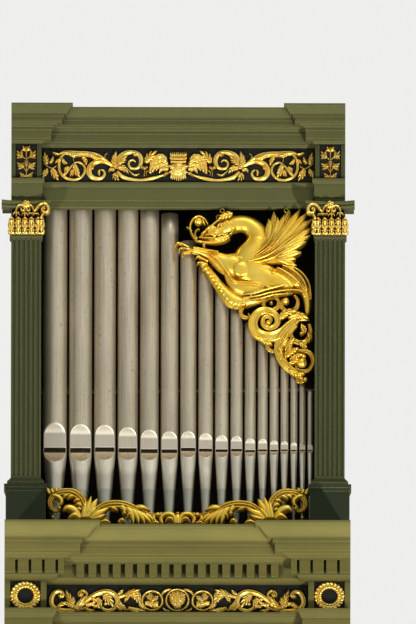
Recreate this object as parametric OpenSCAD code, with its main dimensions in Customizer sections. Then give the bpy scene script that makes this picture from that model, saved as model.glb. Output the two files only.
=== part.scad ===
// One bay of a carved and gilded organ case with its front pipes, in millimetres.
// The middle of the bay is x = 0, the frieze plane is y = 0 and the front faces -y.
// The floor under the base is z = 0. A projection is a distance in front of the frieze plane.

/* [Bay] */
// Width of the pedestal over its outer faces
bay_w = 2076; // [1980:4:2200]
// Width of each pedestal block under a pilaster
pier_w = 252; // [240:2:290]
// Step forward of the piers from the middle of the bay
pier_step = 82; // [60:1:110]
// Depth of the case behind the frieze plane
case_depth = 880; // [500:10:1100]
// Thickness of the side walls and of the front frame
frame_t = 40; // [30:1:44]
// Thickness of the back, floor and roof boards
board_t = 25; // [18:1:40]

/* [Pedestal] */
// Height of the plain base
base_h = 48; // [30:1:120]
// Set-back of the plain base from the fascia above it
base_inset = 12; // [0:1:30]
// Height of the lower architrave
ped_arch_h = 150; // [120:1:200]
// Projection of the lower architrave fascia
ped_fascia_proj = 36; // [20:1:38]
// Projection of the lower architrave top fillet
ped_cap_proj = 64; // [50:1:80]
// Height of the moulding on the lower architrave
ped_cap_h = 54; // [40:1:70]
// Height of the pedestal frieze
ped_frieze_h = 192; // [150:1:220]
// Width of the stiles round a pedestal panel
ped_stile_w = 34; // [20:1:50]
// Depth of a sunk panel
panel_sink = 12; // [6:1:20]
// Clearance of a wreath inside its panel
wreath_gap = 3; // [1:0.5:12]
// Diameter of the rope of leaves of a wreath
wreath_rope_d = 39; // [20:1:44]

/* [Pedestal cornice] */
// Height of the bed moulding under the dentils
ped_bed_h = 20; // [12:1:30]
// Projection of the bed moulding at its foot
ped_bed_proj = 18; // [10:1:30]
// Projection of the band behind the dentils
dentil_band_proj = 70; // [50:1:80]
// Projection of the dentil faces
dentil_proj = 105; // [90:1:118]
// Height of a dentil
dentil_h = 81; // [60:1:90]
// Width of a dentil
dentil_w = 45; // [30:1:52]
// Distance from one dentil to the next
dentil_pitch = 73; // [60:0.5:90]
// Width of a dentil on the front of a pier
pier_dentil_w = 64; // [50:1:70]
// Height of the fillet over the dentils
dentil_fillet_h = 9; // [6:1:14]
// Height of the cyma under the soffit
bed_cyma_h = 16; // [10:1:24]
// Projection of that cyma at its top
bed_cyma_proj = 153; // [140:1:170]
// Height of the corona
corona_h = 52; // [40:1:64]
// Projection of the corona
corona_proj = 201; // [180:1:210]
// Height of the fillet on the corona
corona_fillet_h = 23; // [14:1:30]
// Projection of the fillet on the corona
corona_fillet_proj = 214; // [212:1:226]
// Height of the crown cyma
crown_h = 56; // [44:1:70]
// Projection of the crown cyma at its foot
crown_foot_proj = 232; // [228:1:240]
// Projection of the crown cyma at its top
crown_proj = 312; // [290:1:316]
// Height of the top fillet
top_fillet_h = 24; // [16:1:34]
// Projection of the top fillet
top_fillet_proj = 319; // [317:1:330]

/* [Pilasters] */
// Width of a pilaster shaft
shaft_w = 180; // [160:1:190]
// Height of a plinth
plinth_h = 322; // [280:2:360]
// Set-back of a plinth from the sides of its pier
plinth_inset = 6; // [0:1:20]
// Projection of a plinth in front of its pier
plinth_proj = 14; // [8:1:24]
// Height of the moulding on top of a plinth
plinth_cap_h = 42; // [30:1:60]
// Projection of that moulding from the plinth
plinth_cap_proj = 10; // [6:1:10]
// Height of the torus of a pilaster base
torus_h = 24; // [16:1:30]
// Projection of the torus from the shaft
torus_proj = 22; // [14:1:24]
// Height of the flare from the torus to the shaft
flare_h = 26; // [18:1:36]
// Height of the shaft over its base
shaft_h = 1508; // [1300:2:1700]
// Number of flutes on a shaft
flute_count = 6; // [4:1:8]
// Width of a flute
flute_w = 17; // [12:1:18]
// Distance from one flute to the next
flute_pitch = 28.4; // [26:0.2:30]
// Height of plain shaft over and under the flutes
flute_end = 8; // [4:1:40]
// Height of the astragal on the shaft
astragal_h = 20; // [14:1:26]
// Projection of the astragal
astragal_proj = 9; // [5:1:12]

/* [Capitals] */
// Height of the carved bell of a capital
bell_h = 156; // [140:1:180]
// Height of the abacus
abacus_h = 42; // [34:1:54]
// Width of the abacus over its horns
abacus_w = 294; // [270:2:310]
// Projection of the horns in front of the shaft
abacus_proj = 62; // [50:1:80]
// Depth of the hollow in the front of the abacus
abacus_hollow = 26; // [16:1:36]
// Height of the lower row of leaves
leaf_low_h = 66; // [50:1:76]
// Height of the upper row of leaves
leaf_high_h = 104; // [90:1:116]
// Outer radius of a corner volute
volute_r = 30; // [22:1:34]
// Diameter of the flower on the abacus
flower_d = 50; // [36:1:54]

/* [Main entablature] */
// Height of the architrave
arch_h = 155; // [140:1:190]
// Height of its lower bead
arch_bead_h = 41; // [30:1:50]
// Projection of its fascia over the bead
arch_step = 6; // [3:1:10]
// Height of its top fillets
arch_top_h = 29; // [20:1:40]
// Projection of its top fillets
arch_top_proj = 18; // [12:1:24]
// Height of the frieze
frieze_h = 222; // [190:1:250]
// Width of the stiles of a frieze block
frieze_stile_w = 24; // [16:1:32]
// Projection of the frieze cap moulding
cap_proj = 18; // [12:1:24]
// Height of the frieze cap moulding
cap_h = 14; // [8:1:20]
// Height of the fascia over the cap
fascia_h = 52; // [44:1:66]
// Projection of that fascia
fascia_proj = 57; // [50:1:60]
// Height of the fillet over the fascia
fascia_fillet_h = 20; // [12:1:26]
// Projection of that fillet
fascia_fillet_proj = 61; // [60:1:70]
// Height of the upper bed cyma
upper_bed_h = 14; // [10:1:22]
// Projection of the upper bed cyma
upper_bed_proj = 93; // [80:1:104]
// Height of the upper corona
upper_corona_h = 29; // [26:1:44]
// Projection of the upper corona
upper_corona_proj = 123; // [110:1:130]
// Height of the fillet on the upper corona
upper_fillet_h = 15; // [12:1:24]
// Projection of that fillet
upper_fillet_proj = 135; // [132:1:142]
// Height of the upper crown cyma
upper_crown_h = 39; // [32:1:50]
// Projection of the upper crown at its foot
upper_crown_foot_proj = 144; // [143:1:150]
// Projection of the upper crown at its top
upper_crown_proj = 186; // [170:1:187]
// Height of the upper top fillet
upper_top_h = 14; // [10:1:22]
// Projection of the upper top fillet
upper_top_proj = 189; // [188:1:200]

/* [Pipes] */
// Number of front pipes
pipe_count = 17; // [9:1:17]
// Clearance between the outermost pipes and the pilasters
pipe_side = 11; // [6:0.5:40]
// Clear gap between two pipes
pipe_gap = 12; // [8:0.2:20]
// Diameter of the second pipe as a part of the first
pipe_d_ratio = 0.945; // [0.93:0.0005:0.96]
// Part by which that ratio falls again from each pipe to the next
pipe_d_fall = 0.995; // [0.99:0.0005:1]
// Thickness of the pipe metal
pipe_t = 2; // [1:0.5:3]
// Set-back of the pipe fronts from the frieze plane
pipe_back = 46; // [45:1:60]
// Length of a pipe foot
foot_l = 492; // [400:2:560]
// Diameter of a foot at its toe as a part of its pipe
toe_ratio = 0.38; // [0.3:0.01:0.45]
// Diameter of a toe hole as a part of the toe
toe_hole_ratio = 0.6; // [0.4:0.01:0.7]
// Body length of the pipe numbered below
body_l = 1500; // [1300:10:1560]
// Each body length as a part of the one before
body_ratio = 0.884; // [0.87:0.001:0.9]
// Number of the pipe whose body length is given; the pipes before it stand behind the architrave
body_pipe = 6; // [3:1:8]
// Extra body of each pipe before it as a part of that length
bass_share = 0.055; // [0.03:0.005:0.06]
// Height of the mouth as a part of the diameter
cut_up_ratio = 0.215; // [0.18:0.005:0.26]
// Width of the mouth as a part of the diameter
mouth_ratio = 0.92; // [0.7:0.01:0.94]
// Height of the upper lip as a part of the diameter
lip_ratio = 1; // [0.8:0.01:1.1]

/* [Inside] */
// Height of the toe board over the pedestal
toe_board_h = 90; // [70:1:110]
// Thickness of the toe board shelf
toe_shelf_t = 24; // [18:1:30]
// Depth of the shelf behind the front frame
toe_shelf_depth = 170; // [160:2:260]
// Height of the pipe rack over the toe board
rack_rise = 874; // [500:2:900]
// Thickness of the pipe rack
rack_t = 18; // [12:1:30]
// Wood of the rack behind the largest pipe
rack_back = 46; // [30:1:80]
// Clearance of the rack round a pipe
rack_clear = 0.5; // [0.3:0.1:1]

/* [Carving] */
// Thickness of the frieze carvings
carving_t = 14; // [8:1:20]
// Height of the carving on the toe board
toe_carving_h = 320; // [280:2:360]
// Thickness of the carving on the toe board
toe_carving_t = 24; // [16:1:34]
// Width of the carved pipe shade
shade_w = 808; // [700:4:808]
// Height of the carved pipe shade
shade_h = 1083; // [900:4:1160]
// Thickness of the pierced ground of the pipe shade
shade_t = 26; // [18:1:34]
// Added relief of its body and limbs
shade_relief = 50; // [12:1:60]
// Diameter of the rods that hang the pipe shade
hanger_d = 12; // [8:1:16]
// Visible length of those rods
hanger_l = 9; // [6:1:20]

/* [Hidden] */

case_green = [0.36, 0.37, 0.22];
panel_black = [0.10, 0.11, 0.12];
gold = [0.85, 0.65, 0.20];
tin = [0.66, 0.62, 0.53];
raw_wood = [0.42, 0.32, 0.22];

curve_steps = 6;
ribbon_steps = 4;
cut_over = 5;
round_fn = 48;

half_w = bay_w / 2;
pier_inner = half_w - pier_w;
pier_mid = half_w - pier_w / 2;
shaft_inner = pier_mid - shaft_w / 2;
shaft_outer = pier_mid + shaft_w / 2;
wall_inner = shaft_outer - frame_t;
plinth_w = pier_w - 2 * plinth_inset;
wreath_d = min(pier_w - 2 * ped_stile_w, ped_frieze_h) - 2 * wreath_gap;

z_ped_arch = base_h;
z_ped_frieze = z_ped_arch + ped_arch_h;
z_ped_cornice = z_ped_frieze + ped_frieze_h;
z_dentil = z_ped_cornice + ped_bed_h;
z_dentil_top = z_dentil + dentil_h;
z_bed = z_dentil_top + dentil_fillet_h;
z_corona = z_bed + bed_cyma_h;
z_corona_top = z_corona + corona_h;
z_crown = z_corona_top + corona_fillet_h;
z_crown_top = z_crown + crown_h;
z_ped_top = z_crown_top + top_fillet_h;
z_toe = z_ped_top + toe_board_h;
z_plinth_top = z_ped_top + plinth_h;
z_shaft = z_plinth_top + torus_h + flare_h;
z_shaft_top = z_shaft + shaft_h;
z_bell = z_shaft_top + astragal_h;
z_abacus = z_bell + bell_h;
z_arch = z_abacus + abacus_h;
z_frieze = z_arch + arch_h;
z_cap = z_frieze + frieze_h;
z_fascia = z_cap + cap_h;
z_fascia_fillet = z_fascia + fascia_h;
z_upper_bed = z_fascia_fillet + fascia_fillet_h;
z_upper_corona = z_upper_bed + upper_bed_h;
z_upper_fillet = z_upper_corona + upper_corona_h;
z_upper_crown = z_upper_fillet + upper_fillet_h;
z_upper_top = z_upper_crown + upper_crown_h;
z_top = z_upper_top + upper_top_h;
z_roof = z_top - board_t;
z_mouth = z_toe + foot_l;
z_rack = z_toe + rack_rise;

// Points of a cyma with level ends, from one [projection, height] to another
function cyma_recta(a, b) = [for (i = [0 : curve_steps]) let (t = i / curve_steps)
    [a[0] + (b[0] - a[0]) * t, a[1] + (b[1] - a[1]) * (1 - cos(180 * t)) / 2]];
// Points of a cyma with upright ends
function cyma_reversa(a, b) = [for (i = [0 : curve_steps]) let (t = i / curve_steps)
    [a[0] + (b[0] - a[0]) * (1 - cos(180 * t)) / 2, a[1] + (b[1] - a[1]) * t]];
// Points of a quarter round that starts level and ends upright
function ovolo(a, b) = [for (i = [0 : curve_steps]) let (t = i / curve_steps)
    [a[0] + (b[0] - a[0]) * sin(90 * t), a[1] + (b[1] - a[1]) * (1 - cos(90 * t))]];
// Points of a full half round that stands out from an upright face
function half_round(proj, z0, z1, out) = [for (i = [0 : curve_steps])
    [proj + out * sin(180 * i / curve_steps),
     (z0 + z1) / 2 - (z1 - z0) / 2 * cos(180 * i / curve_steps)]];

base_profile = [[ped_fascia_proj - base_inset, 0], [ped_fascia_proj - base_inset, base_h]];
ped_arch_profile = concat(
    [[ped_fascia_proj, z_ped_arch], [ped_fascia_proj, z_ped_frieze - ped_cap_h]],
    cyma_reversa([ped_fascia_proj + ped_bed_proj / 3, z_ped_frieze - ped_cap_h],
        [ped_cap_proj - ped_bed_proj / 3, z_ped_frieze - ped_cap_h / 3]),
    [[ped_cap_proj, z_ped_frieze - ped_cap_h / 3], [ped_cap_proj, z_ped_frieze]]);
ped_cornice_profile = concat(
    ovolo([ped_bed_proj, z_ped_cornice], [dentil_band_proj, z_dentil]),
    [[dentil_band_proj, z_dentil_top], [dentil_proj, z_dentil_top], [dentil_proj, z_bed]],
    cyma_reversa([dentil_proj + dentil_fillet_h, z_bed], [bed_cyma_proj, z_corona]),
    [[corona_proj, z_corona], [corona_proj, z_corona_top],
     [corona_fillet_proj, z_corona_top], [corona_fillet_proj, z_crown]],
    cyma_recta([crown_foot_proj, z_crown], [crown_proj, z_crown_top]),
    [[top_fillet_proj, z_crown_top], [top_fillet_proj, z_ped_top]]);
arch_profile = [[0, z_arch], [0, z_arch + arch_bead_h], [arch_step, z_arch + arch_bead_h],
    [arch_step, z_frieze - arch_top_h], [arch_top_proj * 2 / 3, z_frieze - arch_top_h],
    [arch_top_proj, z_frieze - arch_top_h / 2], [arch_top_proj, z_frieze]];
cornice_profile = concat(
    cyma_reversa([cap_proj / 3, z_cap], [cap_proj, z_fascia]),
    [[fascia_proj, z_fascia], [fascia_proj, z_fascia_fillet],
     [fascia_fillet_proj, z_fascia_fillet], [fascia_fillet_proj, z_upper_bed]],
    cyma_reversa([fascia_fillet_proj + cap_h / 2, z_upper_bed], [upper_bed_proj, z_upper_corona]),
    [[upper_corona_proj, z_upper_corona], [upper_corona_proj, z_upper_fillet],
     [upper_fillet_proj, z_upper_fillet], [upper_fillet_proj, z_upper_crown]],
    cyma_recta([upper_crown_foot_proj, z_upper_crown], [upper_crown_proj, z_upper_top]),
    [[upper_top_proj, z_upper_top], [upper_top_proj, z_top]]);

// A moulding that runs along x between two ends, with its back on a plane
module run_along(profile, x0, x1, step, back) {
    last = len(profile) - 1;
    translate([x0, 0, 0]) rotate([90, 0, 90]) linear_extrude(x1 - x0)
        polygon(concat([for (p = profile) [-p[0] - step, p[1]]],
            [[back, profile[last][1]], [back, profile[0][1]]]));
}

// The same moulding that runs along y on the inner side of the right pier
module run_return(profile, inner, outer, y0, y1) {
    last = len(profile) - 1;
    translate([0, y1, 0]) rotate([90, 0, 0]) linear_extrude(y1 - y0)
        polygon(concat([for (p = profile) [inner - p[0], p[1]]],
            [[outer, profile[last][1]], [outer, profile[0][1]]]));
}

// A moulding that breaks forward round the right pier, mitred at its corner
module pier_run(profile, inner, outer, step, back) {
    reach = max([for (p = profile) p[0]]);
    intersection() {
        run_along(profile, inner - reach, outer, step, back);
        run_return(profile, inner, outer, -step - reach, back);
    }
}

// A whole moulding: the middle of the bay and both piers
module broken_run(profile, inner, outer, step, back) {
    union() {
        run_along(profile, -inner - step / 2, inner + step / 2, 0, back);
        pier_run(profile, inner, outer, step, back);
        mirror([1, 0, 0]) pier_run(profile, inner, outer, step, back);
    }
}

module on_both_sides() {
    children();
    mirror([1, 0, 0]) children();
}

module board(x0, x1, y0, y1, z0, z1) {
    translate([x0, y0, z0]) cube([x1 - x0, y1 - y0, z1 - z0]);
}

// Carving in outline: smooth ribbons that swell and taper along a few places

function spline(a, b, c, d, t) = ((-a + 3 * b - 3 * c + d) * t * t * t
    + (2 * a - 5 * b + 4 * c - d) * t * t + (c - a) * t + 2 * b) / 2;

function spline_points(path) = [for (i = [0 : len(path) - 2], s = [0 : ribbon_steps - 1])
    let (a = path[max(i - 1, 0)], b = path[i], c = path[i + 1], d = path[min(i + 2, len(path) - 1)],
        t = s / ribbon_steps) spline(a, b, c, d, t)];

function ribbon_path(path) = concat(spline_points(path), [path[len(path) - 1]]);

function ribbon_outline(path) = let (
    pts = ribbon_path(path), last = len(pts) - 1,
    sides = [for (i = [0 : last]) let (a = pts[max(i - 1, 0)], b = pts[min(i + 1, last)],
        run = norm([b[0] - a[0], b[1] - a[1]]), w = max(pts[i][2], 1 / 1000) / 2)
        [-(b[1] - a[1]) / run * w, (b[0] - a[0]) / run * w]])
    concat([for (i = [0 : last]) [pts[i][0] + sides[i][0], pts[i][1] + sides[i][1]]],
        [for (i = [last : -1 : 0]) [pts[i][0] - sides[i][0], pts[i][1] - sides[i][1]]]);

// A ribbon whose places and widths are shares of a frame w wide and h high
module ribbon(shares, w, h) {
    polygon(ribbon_outline([for (p = shares) [p[0] * w, p[1] * h, p[2] * w]]));
}

// Depth of a leaf's lobes and width of its stalk, as shares of its half width
leaf_lobe_share = 0.18;
leaf_stalk_share = 0.04;
// A leaf from its stalk to its tip, with lobed sides
module leaf(from, to, wide, lobes) {
    run = norm(to - from);
    steps = 4 * lobes;
    sides = [for (i = [0 : steps]) let (t = i / steps,
        lobe = 1 - leaf_lobe_share * (1 - cos(360 * t * lobes)))
        [run * t, wide / 2 * (sin(180 * pow(t, 4 / 5)) * lobe + leaf_stalk_share)]];
    translate(from) rotate(atan2(to[1] - from[1], to[0] - from[0]))
        polygon(concat(sides, [for (i = [steps : -1 : 0]) [sides[i][0], -sides[i][1]]]));
}

// Radius of a volute's eye as a share of its own
volute_eye_share = 0.22;
// A spiral ribbon that winds in from its tail to an eye
module volute(r, turns, thick, start) {
    steps = ceil(turns * 16);
    path = [for (i = [0 : steps]) let (t = i / steps, q = r * (1 - (1 - volute_eye_share) * t))
        [q * cos(start + 360 * turns * t), q * sin(start + 360 * turns * t), thick * (1 - 0.5 * t)]];
    polygon([for (side = [1, -1], i = side > 0 ? [0 : steps] : [steps : -1 : 0])
        let (p = path[i], q = norm([p[0], p[1]])) [p[0] * (1 + side * p[2] / 2 / q),
            p[1] * (1 + side * p[2] / 2 / q)]]);
    circle(r * volute_eye_share, $fn = round_fn);
}

// An upright plate cut from an outline, its back on the plane y = back
module plate(back, thick) {
    translate([0, back, 0]) rotate([90, 0, 0]) linear_extrude(thick) children();
}

// Base, pedestal and its cornice

module base_plinth() {
    color(case_green) union() {
        broken_run(base_profile, pier_inner, half_w, pier_step, frame_t);
        board(-half_w, half_w, 0, case_depth, 0, base_h);
    }
}

module pedestal_architrave() {
    color(case_green) broken_run(ped_arch_profile, pier_inner, half_w, pier_step, frame_t);
}

module pedestal_frieze_board() {
    color(panel_black) board(-pier_inner, pier_inner, 0, frame_t, z_ped_frieze, z_ped_cornice);
}

module pedestal_blocks() {
    color(case_green) on_both_sides() difference() {
        board(pier_inner, half_w, -pier_step, frame_t, z_ped_frieze, z_ped_cornice);
        board(pier_inner + ped_stile_w, half_w - ped_stile_w, -pier_step - cut_over,
            -pier_step + panel_sink, z_ped_frieze - cut_over, z_ped_cornice + cut_over);
    }
}

module wreaths() {
    ring_r = (wreath_d - wreath_rope_d) / 2;
    color(gold) on_both_sides()
        translate([pier_mid, -pier_step + panel_sink, (z_ped_frieze + z_ped_cornice) / 2])
            rotate([90, 0, 0]) rotate_extrude($fn = round_fn) translate([ring_r, 0])
                intersection() {
                    circle(wreath_rope_d / 2, $fn = round_fn);
                    translate([-wreath_rope_d, 0]) square(wreath_rope_d * 2);
                }
}

// Scrolls of the pedestal frieze: centre, radius, start angle and hand as shares
ped_scroll_shares = [[0.155, 0.5, 0.36, 0, 1], [0.33, 0.46, 0.33, 180, -1],
    [0.54, 0.5, 0.34, 0, 1], [0.74, 0.46, 0.33, 180, -1], [0.90, 0.5, 0.34, 0, 1]];

// Widths in a frieze of scrolls: its spirals and its leaves, as shares of its height
frieze_spiral_share = 0.14;
frieze_leaf_share = 0.26;
module frieze_half(length, high, scroll_shares) {
    thick = high * frieze_spiral_share;
    for (s = scroll_shares) translate([s[0] * length, s[1] * high])
        rotate(s[3]) volute(s[2] * high, 1.4, thick, 90);
    for (i = [0 : len(scroll_shares) - 2]) let (a = scroll_shares[i], b = scroll_shares[i + 1])
        leaf([a[0] * length, a[1] * high + s_sign(i) * a[2] * high],
            [b[0] * length, b[1] * high - s_sign(i) * b[2] * high],
            high * frieze_leaf_share, 3);
    ribbon([[0.02, 0.12, 0.012], [0.25, 0.2, 0.02], [0.45, 0.12, 0.016], [0.7, 0.2, 0.02],
        [0.95, 0.14, 0.012]], length, high);
}

function s_sign(i) = i % 2 == 0 ? 1 : -1;

// Height of the carving, then radii of the medallion's rim, its inside, knob and ground, as shares
ped_carving_share = 0.84;
medal_shares = [0.45, 0.3, 0.2, 0.4];
module pedestal_carving() {
    length = pier_inner - ped_stile_w / 2;
    high = ped_frieze_h * ped_carving_share;
    color(gold) translate([0, 0, z_ped_frieze + (ped_frieze_h - high) / 2]) union() {
        on_both_sides() plate(0, carving_t) frieze_half(length, high, ped_scroll_shares);
        plate(0, carving_t) translate([0, high / 2]) difference() {
            circle(high * medal_shares[0], $fn = round_fn);
            circle(high * medal_shares[1], $fn = round_fn);
        }
        plate(0, carving_t) translate([0, high / 2]) circle(high * medal_shares[2], $fn = round_fn);
        plate(0, carving_t / 2) translate([0, high / 2])
            circle(high * medal_shares[3], $fn = round_fn);
    }
}

// Dentils: full ones over the bay, one on each return and wider ones on the pier fronts
module dentil(x, y0, y1, w) {
    board(x - w / 2, x + w / 2, y0, y1, z_dentil, z_dentil_top);
}

module dentil_course() {
    free = pier_inner - dentil_proj;
    half_count = floor((free - dentil_w) / dentil_pitch);
    corner = pier_inner - dentil_proj;
    band = pier_inner - dentil_band_proj;
    corner_w = dentil_proj - dentil_band_proj;
    front_run = half_w - corner - corner_w;
    front_count = floor(front_run / (pier_dentil_w + dentil_w / 3));
    front_pitch = front_run / front_count;
    color(case_green) {
        for (i = [-half_count : half_count])
            dentil(i * dentil_pitch, -dentil_proj, -dentil_band_proj, dentil_w);
        on_both_sides() {
            board(corner, band, -pier_step - dentil_proj, -pier_step - dentil_band_proj,
                z_dentil, z_dentil_top);
            board(corner, band, -dentil_proj - pier_step / 2 - dentil_w / 2,
                -dentil_proj - pier_step / 2 + dentil_w / 2, z_dentil, z_dentil_top);
            for (i = [0 : front_count - 1])
                dentil(band + front_pitch * (i + 1) - pier_dentil_w / 2,
                    -pier_step - dentil_proj, -pier_step - dentil_band_proj, pier_dentil_w);
        }
    }
}

module pedestal_cornice() {
    color(case_green) broken_run(ped_cornice_profile, pier_inner, half_w, pier_step, frame_t);
}

module pedestal_sides() {
    color(case_green) on_both_sides()
        board(half_w - frame_t, half_w, frame_t, case_depth, base_h, z_ped_top - board_t);
}

// Toe board with a hole under each pipe, and the carving that stands before it

module toe_board() {
    color(case_green) difference() {
        union() {
            board(-shaft_inner, shaft_inner, 0, frame_t, z_ped_top, z_toe);
            board(-wall_inner, wall_inner, frame_t, frame_t + toe_shelf_depth,
                z_toe - toe_shelf_t, z_toe);
        }
        for (i = [1 : pipe_count])
            translate([pipe_x(i), pipe_y(i), z_toe - toe_board_h - cut_over])
                cylinder(d = toe_hole(i), h = toe_board_h + 2 * cut_over, $fn = round_fn);
    }
}

// Half of the toe carving, out from the middle: places and widths as shares
toe_scroll_shares = [[0.0, 0.28, 0.03], [0.08, 0.62, 0.03], [0.2, 0.86, 0.035],
    [0.36, 0.9, 0.04], [0.5, 0.74, 0.04], [0.61, 0.4, 0.035], [0.66, 0.28, 0.02]];
toe_end_shares = [[0.66, 0.28, 0.03], [0.74, 0.62, 0.035], [0.83, 0.88, 0.045],
    [0.92, 0.98, 0.05], [0.985, 0.86, 0.035], [0.985, 0.6, 0.03], [0.92, 0.5, 0.025],
    [0.87, 0.58, 0.02]];
toe_curl_shares = [[0.02, 0.3, 0.02], [0.1, 0.5, 0.025], [0.18, 0.62, 0.03],
    [0.25, 0.5, 0.025], [0.235, 0.36, 0.02]];
toe_leaf_shares = [[0.66, 0.2, 0.70, 0.86, 0.07], [0.66, 0.2, 0.62, 0.8, 0.07],
    [0.72, 0.2, 0.82, 0.6, 0.07], [0.42, 0.2, 0.3, 0.6, 0.07], [0.42, 0.2, 0.46, 0.62, 0.07]];

module toe_half(length, high) {
    ribbon(toe_scroll_shares, length, high);
    ribbon(toe_end_shares, length, high);
    ribbon(toe_curl_shares, length, high);
    for (s = toe_leaf_shares)
        leaf([s[0] * length, s[1] * high], [s[2] * length, s[3] * high], s[4] * length, 3);
}

module toe_carving() {
    length = pier_inner - plinth_proj;
    color(gold) translate([0, 0, z_ped_top]) plate(0, toe_carving_t) {
        on_both_sides() toe_half(length, toe_carving_h);
        translate([-length, 0]) square([2 * length, toe_board_h + cut_over]);
    }
}

// Plinths, pilasters and capitals

module plinth() {
    front = pier_step + plinth_proj;
    cap = concat([[0, z_plinth_top - plinth_cap_h]],
        cyma_reversa([plinth_cap_proj / 4, z_plinth_top - plinth_cap_h],
            [plinth_cap_proj * 3 / 4, z_plinth_top - plinth_cap_h / 2]),
        [[plinth_cap_proj, z_plinth_top - plinth_cap_h / 2], [plinth_cap_proj, z_plinth_top]]);
    color(case_green) union() {
        board(pier_mid - plinth_w / 2, pier_mid + plinth_w / 2, -front, 0,
            z_ped_top, z_plinth_top - plinth_cap_h);
        collar(cap, plinth_w, front);
    }
}

// A moulding on three sides of an upright that is w wide and stands front forward
module collar(profile, w, front) {
    last = len(profile) - 1;
    reach = max([for (p = profile) p[0]]);
    mid = pier_mid;
    intersection() {
        run_along(profile, mid - w / 2 - reach, mid + w / 2 + reach, front, 0);
        rotate([90, 0, 0]) linear_extrude(front + reach)
            polygon(concat([for (p = profile) [mid - w / 2 - p[0], p[1]]],
                [for (i = [last : -1 : 0]) [mid + w / 2 + profile[i][0], profile[i][1]]]));
    }
}

// Spread of the shaft's flare at its foot as a share of the torus
flare_foot_share = 0.7;
module pilaster() {
    torus = half_round(torus_proj / 2, z_plinth_top, z_plinth_top + torus_h, torus_proj / 2);
    flare = [for (i = [0 : curve_steps]) let (t = i / curve_steps)
        [torus_proj * flare_foot_share * (1 - sin(90 * t)), z_plinth_top + torus_h + flare_h * t]];
    ring = half_round(0, z_shaft_top, z_bell, astragal_proj);
    color(case_green) difference() {
        union() {
            collar(torus, shaft_w, pier_step);
            collar(flare, shaft_w, pier_step);
            board(shaft_inner, shaft_outer, -pier_step, 0, z_shaft, z_bell);
            collar(ring, shaft_w, pier_step);
        }
        for (i = [0 : flute_count - 1]) translate([pier_mid
            + (i - (flute_count - 1) / 2) * flute_pitch, -pier_step, 0]) flute();
    }
}

// One flute: a round channel with round ends
module flute() {
    low = z_shaft + flute_end + flute_w / 2;
    high = z_shaft_top - flute_end - flute_w / 2;
    translate([0, 0, low]) cylinder(d = flute_w, h = high - low, $fn = round_fn);
    for (z = [low, high]) translate([0, 0, z]) sphere(d = flute_w, $fn = round_fn);
}

// Lean of a capital's leaf, then height, radius and width of its curled tip, as shares
capital_leaf_shares = [0.14, 0.84, 0.8, 0.4];
// A leaf of the capital: an upright lobed plate whose tip leans forward
module capital_leaf(x, y, wide, high) {
    lean = high * capital_leaf_shares[0];
    translate([x, y, z_bell]) {
        rotate([90, 0, 0]) linear_extrude(lean) leaf([0, 0], [0, high], wide, 3);
        translate([0, -lean, high * capital_leaf_shares[1]]) rotate([0, 90, 0])
            cylinder(r = lean * capital_leaf_shares[2], h = wide * capital_leaf_shares[3],
                center = true, $fn = round_fn);
    }
}

// Corner volute on the side of the pipes: its depth, radius and strip as shares of its size
volute_shares = [1.6, 0.86, 0.28];
// Inner pair: size as a share of the corner volute's, then place, drop, radius and strip
helix_shares = [0.6, 1.05, 1.3, 0.86, 0.3];
module capital() {
    front = pier_step;
    row_low = shaft_w / 4;
    helix_r = volute_r * helix_shares[0];
    color(gold) union() {
        board(shaft_inner, shaft_outer, -front, 0, z_bell, z_abacus);
        for (i = [-1.5 : 1 : 1.5]) capital_leaf(pier_mid + i * row_low, -front, row_low, leaf_low_h);
        for (i = [-1 : 1]) capital_leaf(pier_mid + i * row_low, -front, row_low, leaf_high_h);
        translate([shaft_inner - volute_r / 4, 0, z_abacus - volute_r])
            plate(-front + volute_r / 2, volute_r * volute_shares[0]) mirror([1, 0])
                volute(volute_r * volute_shares[1], 3 / 2, volute_r * volute_shares[2], 180);
        for (side = [-1, 1])
            translate([pier_mid + side * helix_r * helix_shares[1], 0,
                z_abacus - helix_r * helix_shares[2]])
                plate(-front, helix_r) scale([-side, 1])
                    volute(helix_r * helix_shares[3], 4 / 3, helix_r * helix_shares[4], 180);
    }
    color(case_green) difference() {
        board(pier_mid - abacus_w / 2, pier_mid + abacus_w / 2, -front - abacus_proj, 0,
            z_abacus, z_arch);
        translate([pier_mid, -front - abacus_proj + abacus_hollow - hollow_r(), z_abacus - cut_over])
            cylinder(r = hollow_r(), h = abacus_h + 2 * cut_over, $fn = round_fn * 2);
    }
    color(gold) translate([pier_mid, -front - abacus_proj + abacus_hollow, z_abacus + abacus_h / 2])
        rotate([90, 0, 0]) cylinder(d = flower_d, h = abacus_hollow / 2, $fn = round_fn);
}

// Half width of the abacus hollow as a share of the abacus
abacus_hollow_share = 0.42;
// Radius of the hollow that meets the abacus front a little inside its horns
function hollow_r() = let (half = abacus_w * abacus_hollow_share)
    (half * half + abacus_hollow * abacus_hollow) / (2 * abacus_hollow);

module front_posts() {
    color(case_green) on_both_sides()
        board(shaft_inner + frame_t / 4, shaft_outer, 0, frame_t, z_ped_top, z_arch);
}

// Main entablature

module architrave() {
    color(case_green) broken_run(arch_profile, shaft_inner, shaft_outer, pier_step, frame_t);
}

module frieze_board() {
    color(panel_black) board(-shaft_inner, shaft_inner, 0, frame_t, z_frieze, z_cap);
}

module frieze_blocks() {
    color(case_green) on_both_sides() difference() {
        board(shaft_inner, shaft_outer, -pier_step, frame_t, z_frieze, z_cap);
        board(shaft_inner + frieze_stile_w, shaft_outer - frieze_stile_w,
            -pier_step - cut_over, -pier_step + panel_sink, z_frieze - cut_over, z_cap + cut_over);
    }
}

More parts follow.
